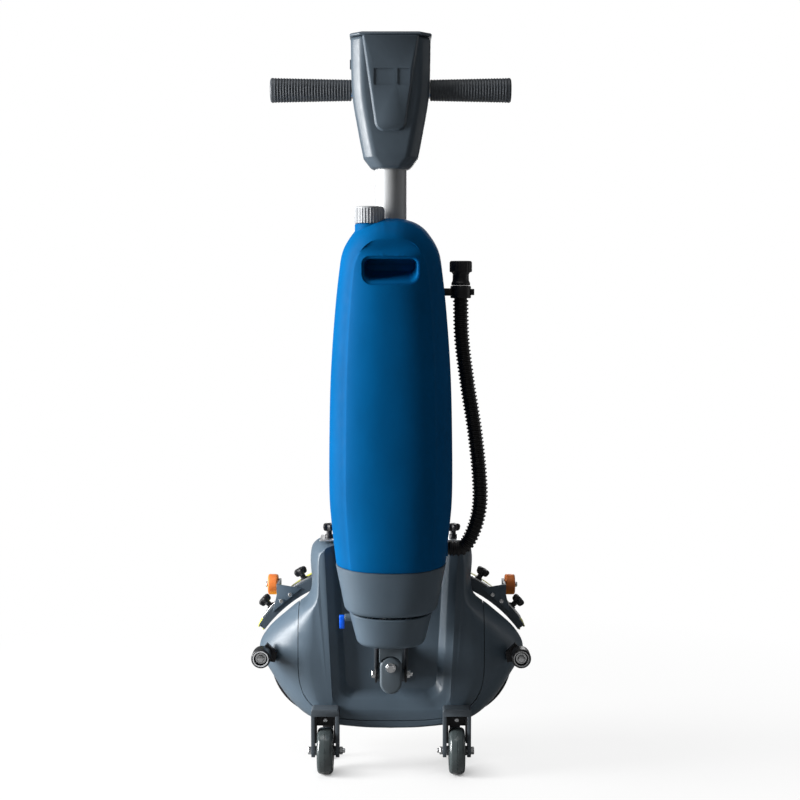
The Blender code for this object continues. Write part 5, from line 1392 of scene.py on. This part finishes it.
def make_deck():
    hollow = carved(deck_body(-DECK_WALL, DECK_DEPTH), "DIFFERENCE", deck_recess(DECK_WALL))
    cover = carved(deck_body(), "DIFFERENCE", deck_recess(), hollow.copy())
    cover = carved(cover, "INTERSECT", cover_prism(-SEAM_GAP / 2))
    piece("deck_cover_moulding", cover, SLATE, "deck", ("deck_cover",), crease=24.0)
    base = carved(deck_body(), "DIFFERENCE", hollow, cover_prism(SEAM_GAP / 2))
    piece("deck_skirt_moulding", base, SLATE, "deck", ("deck_base",), crease=24.0)
    # Lip just inside the seam between cover and skirt, coloured black as painted shade of the seam's dark
    # inside
    lip_out = DECK_WALL + GAP
    lip = carved(deck_body(-lip_out), "DIFFERENCE", deck_body(-lip_out - SEAM_LIP_T, DECK_DEPTH),
                 cover_prism(-SEAM_LIP))
    lip = carved(lip, "INTERSECT", cover_prism(SEAM_LIP))
    piece("deck_seam_lip", lip, BLACK, "deck", crease=32.0)


# Brushes
def tuft():
    """Strands that spread from one hole, along Z: one in the middle and others round it."""
    bm = bmesh.new()
    length = TIPS - DISC_BACK
    spots = [(0.0, 0.0, 1.0)]
    for i in range(STRANDS):
        turn = i * STRAND_TURN
        spots.append((math.cos(turn), math.sin(turn), 0.94 + 0.06 * math.sin(2.4 * i)))
    for u, v, tall in spots:
        rows = []
        for z, (out, thick) in zip((0.0, length * tall), STRAND_ENDS):
            rows.append([bm.verts.new((out * u + thick * math.cos(a), out * v + thick * math.sin(a), z))
                         for a in STRAND_CORNERS])
        for i in range(3):
            j = (i + 1) % 3
            bm.faces.new((rows[0][i], rows[0][j], rows[1][j], rows[1][i]))
        bm.faces.new(rows[1])
        bm.faces.new(rows[0][::-1])
    return bm


def make_brushes():
    disc_r = BRUSH_R - 0.006
    hub = DISC_HUB_R
    dish = DISC_BACK - DISC_DISH
    profile = ((DECK_RIM + GAP, hub), (DISC_FRONT - DISC_DISH, hub), (DISC_FRONT, 2 * hub),
               (DISC_FRONT, disc_r - 0.002), (DISC_FRONT + 0.0008, disc_r - 0.0006),
               (DISC_FRONT + 0.002, disc_r), (DISC_BACK - 0.001, disc_r), (DISC_BACK, disc_r - 0.001),
               (DISC_BACK, 0.046), (dish, 0.044), (dish, 0.012))
    for name, side in SIDES:
        at = (side * BRUSH_X, BRUSH_Z)
        piece("brush_disc_turned_" + name, turned(profile, "Y", at, 96), BLACK, "brush_" + name,
              ("brush_disc_" + name,))
        places = []
        for ring in range(BRISTLE_RINGS):
            share = ring / (BRISTLE_RINGS - 1)
            radius = BRUSH_BORE_R + 0.0055 + share * (disc_r - BRUSH_BORE_R - 0.0085)
            count = round(2 * math.pi * radius / BRISTLE_STEP)
            for i in range(count):
                angle = 2 * math.pi * (i + 0.5 * (ring % 2)) / count
                out = Vector((math.cos(angle), 0.0, math.sin(angle)))
                point = Vector((at[0], DISC_BACK - 0.0008, at[1])) + radius * out
                lean = BRISTLE_LEAN * max(0.0, share - 0.25) + BRISTLE_WAVER * math.sin(7.3 * i + ring)
                places.append((point, ASTERN + lean * out))
        bristles = scattered("bristles_" + name, places, tuft(), BRISTLE, BRISTLE_SEED, *BRISTLE_SIZES)
        piece("bristle_tufts_" + name, bristles, BRISTLE, "brush_" + name,
              ("bristles_" + name,), crease=80.0)


# Transport wheels
def tyre_section(x):
    """Closed section of a tyre with a fine moulding seam round its tread."""
    half = WHEEL_W / 2
    inner = [(half - 0.0006, TYRE_INNER), (half, TYRE_INNER + 0.0012)]
    centre = (half - TYRE_ROUND, WHEEL_R - TYRE_ROUND - 0.0005)
    rounded = arc(centre, TYRE_ROUND, 0, 80, 8)
    seam = [(along, WHEEL_R - depth) for along, depth in TYRE_SEAM]
    right = inner + rounded + seam
    left = [(x - along, radius) for along, radius in right]
    return left + [(x + along, radius) for along, radius in reversed(right)]


def make_wheels():
    axle = (WHEEL_Y, WHEEL_R)
    outer = FORK_INNER + FORK_T
    near = WHEEL_Y - FORK_HALF
    far = WHEEL_Y + FORK_HALF
    leg = arc(axle, FORK_LEG_R, 180, 360, 20) + [(far, FORK_WEB + 0.004), (near, FORK_WEB + 0.004)]
    hub = [(-along, radius) for along, radius in HUB_HALF] + list(HUB_HALF[::-1])
    for name, side in SIDES:
        x = side * WHEEL_X
        wheel = "caster_wheel_" + name
        piece("caster_tyre_" + name, ring_of(tyre_section(x), "X", axle, 96), TYRE, wheel,
              (wheel,), crease=45.0)
        piece("caster_hub_" + name, ring_of([(x + along, radius) for along, radius in hub], "X", axle, 72),
              HUB_GREY, wheel)
        plate = rounded_polygon((((x - outer, FORK_WEB), 0.0005), ((x + outer, FORK_WEB), 0.0005),
                                 ((x + outer, FORK_CROWN), 0.004), ((x - outer, FORK_CROWN), 0.004)))
        fork = joined(prism(leg, "X", x - outer, x - FORK_INNER), prism(leg, "X", x + FORK_INNER, x + outer),
                      prism(plate, "Y", near, DECK_FACE - GAP))
        piece("caster_fork_bent_" + name, fork, FORK_PAINT, "deck", ("caster_fork_" + name,),
              0.0009)
        # Black plate behind the wheel and black liners beside it inside the legs: painted shade of the fork's
        # dark inside
        web = box(x - FORK_INNER, x + FORK_INNER, WHEEL_Y + 0.002, WHEEL_Y + 0.004, SHADE_PLATE_LOW, FORK_WEB)
        shade_liners = [box(low, high, near + 0.003, far - 0.003, SHADE_LINER_LOW, FORK_WEB)
                  for low, high in ((x - FORK_INNER, x - SHADE_LINER_NEAR), (x + SHADE_LINER_NEAR, x + FORK_INNER))]
        piece("caster_guard_" + name, joined(web, *shade_liners), BLACK_STEEL, "deck")
        piece("caster_axle_" + name, hex_bolt("X", axle, x + side * outer, x - side * outer), STEEL, "deck",
              crease=25.0)
    refined("parking_stand", BLACK_STEEL, 0.0012)


# Bumper rollers
def make_bumpers():
    front = BUMPER_BACK - BUMPER_W
    plate = BUMPER_BACK + 0.001
    dish = front + BUMPER_DISH
    inside = BUMPER_R - BUMPER_ROUND
    rubber = [(dish, BUMPER_BORE_R), (dish, BUMPER_DISH_R)]
    rubber += [(front + along, radius) for along, radius in BUMPER_BORE_EDGE]
    rubber += arc((front + BUMPER_ROUND, inside), BUMPER_ROUND, 180, 90, 6)
    rubber += arc((BUMPER_BACK - BUMPER_ROUND, inside), BUMPER_ROUND, 90, 0, 6)
    rubber.append((BUMPER_BACK, BUMPER_BORE_R))
    band = [(front + along, radius) for along, radius in BUMPER_BAND]
    washer = [(dish - along, radius) for along, radius in BUMPER_WASHER]
    head = [(dish - along, radius) for along, radius in BUMPER_HEAD]
    shank = ((dish, BUMPER_SHANK_R), (plate + 0.006, BUMPER_SHANK_R))
    for name, side in SIDES:
        at = (side * BUMPER_X, FLANK_Z)
        roller = "bumper_roller_" + name
        piece("bumper_rubber_" + name, ring_of(rubber, "Y", at, 72), ROLLER, roller, (roller,))
        # Front ring in pale grey: a real ring whose brightness is a painted reflection
        piece("bumper_band_" + name, ring_of(band, "Y", at, 72), BAND_PALE_AS_REFLECTION, roller,
              crease=25.0)
        sweep = (-90, 90) if side > 0 else (90, 270)
        root = [(side * (BUMPER_X - inwards), FLANK_Z + rise) for inwards, rise in BRACKET_ROOT[::side]]
        wedge = prism(arc(at, 0.6 * BUMPER_R, *sweep, 20) + root, "Y", plate, plate + BUMPER_ARM)
        wedge = carved(wedge, "DIFFERENCE", deck_body(GAP))
        piece("bumper_wedge_" + name, wedge, BLACK_STEEL, "deck", ("bumper_bracket_" + name,))
        bolt = joined(turned(washer, "Y", at, 48), turned(head, "Y", at, 48, hexagon),
                      turned(shank, "Y", at, 32))
        piece("bumper_bolt_" + name, bolt, STEEL, "deck", crease=25.0)


# Squeegee
def bow_station(share):
    """Place, outward direction and taper along the right half of the squeegee."""
    angle = math.radians(90 - BLADE_SWEEP * share)
    out = Vector((math.cos(angle), 0, math.sin(angle)))
    taper = 1 - (1 - TIP_SHARE) * max(0.0, 2 * share - 1)
    return Vector((BLADE_MID, 0, BLADE_Z - BLADE_R)) + BLADE_R * out, out, taper


def bowed(inner, outer, low, high, reach):
    """Strip along the squeegee; inner and outer are (tapered, constant) parts of its two faces."""
    right = [bow_station(reach * i / 40) for i in range(41)]
    left = [(Vector((-p.x, 0, p.z)), Vector((-out.x, 0, out.z)), taper) for p, out, taper in reversed(right)]
    rings = []
    for point, out, taper in left + right:
        a = point + out * (inner[0] * taper + inner[1])
        b = point + out * (outer[0] * taper + outer[1])
        rings.append([Vector((p.x, y, p.z)) for p, y in ((a, low), (b, low), (b, high), (a, high))])
    return loft(rings)


def star(angle):
    return 1 - KNOB_STAR + KNOB_STAR * math.cos(5 * angle)


def star_knob(name, place_at, tilt, nut):
    """Star grip on a stem with a lock nut, turned to stand along its screw."""
    stem = KNOB_STEM_R
    low = nut + KNOB_STEM_H
    top = low + KNOB_H
    base = turned(((0.0, 1.5 * stem), (nut - 0.0006, 1.5 * stem), (nut, 1.4 * stem), (nut, stem),
                   (low + 0.001, stem)), "Z", (0, 0), 32)
    profile = [(low + rise, share * KNOB_R) for rise, share in KNOB_LOW]
    profile += [(top - drop, share * KNOB_R) for drop, share in KNOB_HIGH]
    grip = turned(profile, "Z", (0, 0), 80, star)
    knob = joined(base, grip)
    turn = Matrix.Translation(place_at) @ Matrix.Rotation(math.radians(tilt), 4, "Y")
    bmesh.ops.transform(knob, matrix=turn, verts=knob.verts)
    piece(name + "_star", knob, BLACK, name, (name,))


def make_squeegee():
    low = DECK_RIM + ARM_T + 2 * GAP
    blade_low = TIPS - BLADE_H
    strap_low = low + STRAP_H / 3
    strap_high = strap_low + STRAP_H
    cover = BLADE_T + GAP
    flange = bowed((-CHANNEL_IN, -cover), (CHANNEL_OUT, cover), low, blade_low - GAP, CHANNEL_REACH)
    web = bowed((-CHANNEL_IN, 0), (CHANNEL_OUT, 0), low, low + CHANNEL_H, CHANNEL_REACH)
    piece("squeegee_channel", carved(web, "UNION", flange), DARK_SLATE, "deck",
          ("squeegee_body",), 0.0010)
    for name, inner, outer in (("rear", (CHANNEL_OUT, GAP), (CHANNEL_OUT, cover)),
                               ("front", (-CHANNEL_IN, -cover), (-CHANNEL_IN, -GAP))):
        piece("squeegee_rubber_" + name, bowed(inner, outer, blade_low, TIPS, BLADE_REACH), BLADE, "deck",
              ("squeegee_blade_" + name,), 0.0006)
    strap = bowed((CHANNEL_OUT, cover + GAP), (CHANNEL_OUT, cover + STRAP_T + GAP), strap_low, strap_high,
                  STRAP_REACH)
    piece("squeegee_strap_sheet", strap, SHEET_ALUMINIUM, "deck", ("squeegee_strap",), 0.0007)
    arm_top = DECK_TOP + GAP + ARM_T
    middle = DECK_FACE + DECK_DEPTH / 2
    for name, side in SIDES:
        refined("squeegee_arm_" + name, SHEET_ALUMINIUM, 0.0007)
        star_knob("mount_knob_" + name, (side * ARM_X, middle, arm_top + GAP), 0.0, 0.006)
        for level, share in (("lower", 0.8), ("upper", 0.5)):
            point, out, taper = bow_station(share)
            seat = point + out * (CHANNEL_OUT * taper + BLADE_T + STRAP_T + 3 * GAP)
            place_at = (side * seat.x, (strap_low + strap_high) / 2, seat.z)
            star_knob("strap_knob_" + level + "_" + name, place_at, side * BLADE_SWEEP * share, 0.0018)


# Guide wheels and screws
def screw_head(radius=0.0040):
    """Pan head with a hexagon socket, standing on Z = 0."""
    head = turned(((-0.0012, radius), (0.0010, radius), (0.0020, radius - 0.0006), (0.0024, radius - 0.0014)),
                  "Z", (0, 0), 28)
    socket = turned(((0.0010, 0.44 * radius), (0.0040, 0.44 * radius)), "Z", (0, 0), 6)
    return carved(head, "DIFFERENCE", socket)


def make_guide_wheels():
    y = TIPS - GUIDE_R
    half = GUIDE_W / 2
    left = [(sink - half, radius) for sink, radius in GUIDE_FACE]
    left += arc((GUIDE_ROUND - half, GUIDE_R - GUIDE_ROUND), GUIDE_ROUND, 180, 90, 6)
    profile = left + [(-along, radius) for along, radius in reversed(left)]
    pins = []
    for name, side in SIDES:
        wheel = "guide_wheel_" + name
        low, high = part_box(wheel)
        x = (low.x + high.x) / 2
        z = (low.z + high.z) / 2
        shape = ring_of([(x + along, radius) for along, radius in profile], "X", (y, z), 64)
        piece("guide_wheel_turned_" + name, shape, ORANGE, wheel, (wheel,))
        refined("guide_bracket_" + name, SLATE, 0.0006, 2)
        pins.append((Vector((x + side * (half + 0.002), y, z)), Vector((side, 0.0, 0.0))))
    piece("guide_pin_heads", scattered("guide_pins", pins, screw_head(0.0046), STEEL), STEEL, "deck",
          crease=30.0)


def make_screws():
    """Socket screws of the bracket, the forks, the guide brackets, the plate and the head's back."""
    seat = DECK_FACE + RECESS_DEPTH - GAP - BRACKET_T
    deck = [(Vector((0.0, seat, PIVOT_Z + side * BRACKET_SCREW_RISE)), AHEAD) for name, side in SIDES]
    for name, side in SIDES:
        deck.append((Vector((side * WHEEL_X, WHEEL_Y + 0.002, (SHADE_PLATE_LOW + FORK_WEB) / 2)), AHEAD))
        deck += [(Vector((side * x, DECK_RIM + GAP, z)), AHEAD) for x, z in GUIDE_SCREWS]
        deck += [(Vector((side * x, DECK_RIM, z)), ASTERN) for x, z in PLATE_SCREWS]
    head = [(Vector((side * HEAD_SCREW_X, HEAD_DEPTH / 2, z)), ASTERN) for name, side in SIDES
            for z in (HEAD_TOP - HEAD_SCREW_DROP, HEAD_Z + HEAD_SCREW_RISE)]
    for name, body, places in (("deck_screws", "deck", deck), ("head_screws", "handle", head)):
        piece(name, scattered(name, places, screw_head(), STEEL), STEEL, body, crease=30.0)


# Nodes that keep the frame's own solid
def finish_inner_nodes():
    """Finishes of the pieces inside the housings."""
    for node, surface in (("deck_plate", STEEL), ("brush_motor_left", STEEL), ("brush_motor_right", STEEL),
                          ("vacuum_motor", STEEL), ("battery_pack", BLACK), ("control_board", BOARD)):
        dress(frame["nodes"][node].data, surface)


# Stage
def soft_lamp(name, place_at, aim, size, power):
    lamp = bpy.data.lights.new(name, "AREA")
    lamp.shape = "RECTANGLE"
    lamp.size, lamp.size_y = size
    lamp.energy = power
    obj = bpy.data.objects.new(name, lamp)
    obj.location = place_at
    obj.rotation_euler = (Vector(aim) - Vector(place_at)).to_track_quat("-Z", "Y").to_euler()
    bpy.context.scene.collection.objects.link(obj)


def product(tree, first, second):
    times = add_node(tree, "ShaderNodeMath", operation="MULTIPLY")
    tree.links.new(first, times.inputs[0])
    tree.links.new(second, times.inputs[1])
    return times.outputs["Value"]


def room_strength(tree):
    """White to the eye, dimmer in gloss, and dim as light."""
    path = add_node(tree, "ShaderNodeLightPath")
    total = None
    for ray, gain in (("Is Camera Ray", 1.0 - ROOM_LIGHT), ("Is Transmission Ray", 1.0 - ROOM_LIGHT),
                      ("Is Glossy Ray", GLOSS_LIGHT - ROOM_LIGHT)):
        part = add_node(tree, "ShaderNodeMath", {1: gain, 2: ROOM_LIGHT}, operation="MULTIPLY_ADD")
        tree.links.new(path.outputs[ray], part.inputs[0])
        if total:
            tree.links.new(total, part.inputs[2])
        total = part.outputs["Value"]
    return total


def make_floor():
    """Pale floor that fades to white away from the machine and keeps its shadow."""
    floor = plain_object("studio_floor", prism(FLOOR_OUTLINE, "Z", -0.02, 0.0))
    material, tree, shader, place = shader_of("studio_floor")
    camera_ray = add_node(tree, "ShaderNodeLightPath").outputs["Is Camera Ray"]
    tone = add_node(tree, "ShaderNodeMix", data_type="RGBA")
    tone.inputs["A"].default_value = (*FLOOR_GREY, 1.0)
    tree.links.new(tinted(tree, speckle(tree, place, 9.0), *FLOOR_PALE), tone.inputs["B"])
    tree.links.new(camera_ray, tone.inputs["Factor"])
    tree.links.new(tone.outputs["Result"], shader.inputs["Base Color"])
    shader.inputs["Roughness"].default_value = 0.9
    shader.inputs["Specular IOR Level"].default_value = 0.1
    reach = add_node(tree, "ShaderNodeVectorMath", operation="LENGTH")
    tree.links.new(place, reach.inputs[0])
    fade = spread(tree, reach.outputs["Value"], FLOOR_GLOW, 1.0, *FLOOR_FADE)
    near = add_node(tree, "ShaderNodeAmbientOcclusion", {"Distance": FLOOR_NEAR}, samples=16)
    seen = product(tree, product(tree, fade, near.outputs["AO"]), camera_ray)
    glow = add_node(tree, "ShaderNodeEmission")
    mix = add_node(tree, "ShaderNodeMixShader")
    tree.links.new(seen, mix.inputs["Fac"])
    tree.links.new(shader.outputs["BSDF"], mix.inputs[1])
    tree.links.new(glow.outputs["Emission"], mix.inputs[2])
    tree.links.new(mix.outputs["Shader"], tree.nodes["Material Output"].inputs["Surface"])
    floor.data.materials.append(material)


def make_stage():
    make_floor()
    scene = bpy.context.scene
    world = bpy.data.worlds.new("studio")
    world.use_nodes = True
    scene.world = world
    tree = world.node_tree
    room = tree.nodes["Background"]
    room.inputs["Color"].default_value = (*WHITE, 1.0)
    tree.links.new(room_strength(tree), room.inputs["Strength"])

    for lamp in LAMPS:
        soft_lamp(*lamp)

    camera = bpy.data.cameras.new("photo_camera")
    camera.lens = CAMERA_LENS
    camera.sensor_width = CAMERA_SENSOR
    obj = bpy.data.objects.new("photo_camera", camera)
    obj.location = CAMERA_AT
    obj.rotation_euler = (math.radians(90.0 - CAMERA_TILT), 0.0, 0.0)
    scene.collection.objects.link(obj)
    scene.camera = obj
    scene.view_settings.view_transform = "Standard"


make_head()
make_grips()
make_pole()
make_tank()
hose, hose_cap, hose_path, hose_length = make_hose()
make_cups()
make_joint()
make_deck()
make_brushes()
make_wheels()
make_bumpers()
make_squeegee()
make_guide_wheels()
make_screws()
finish_inner_nodes()
make_stage()
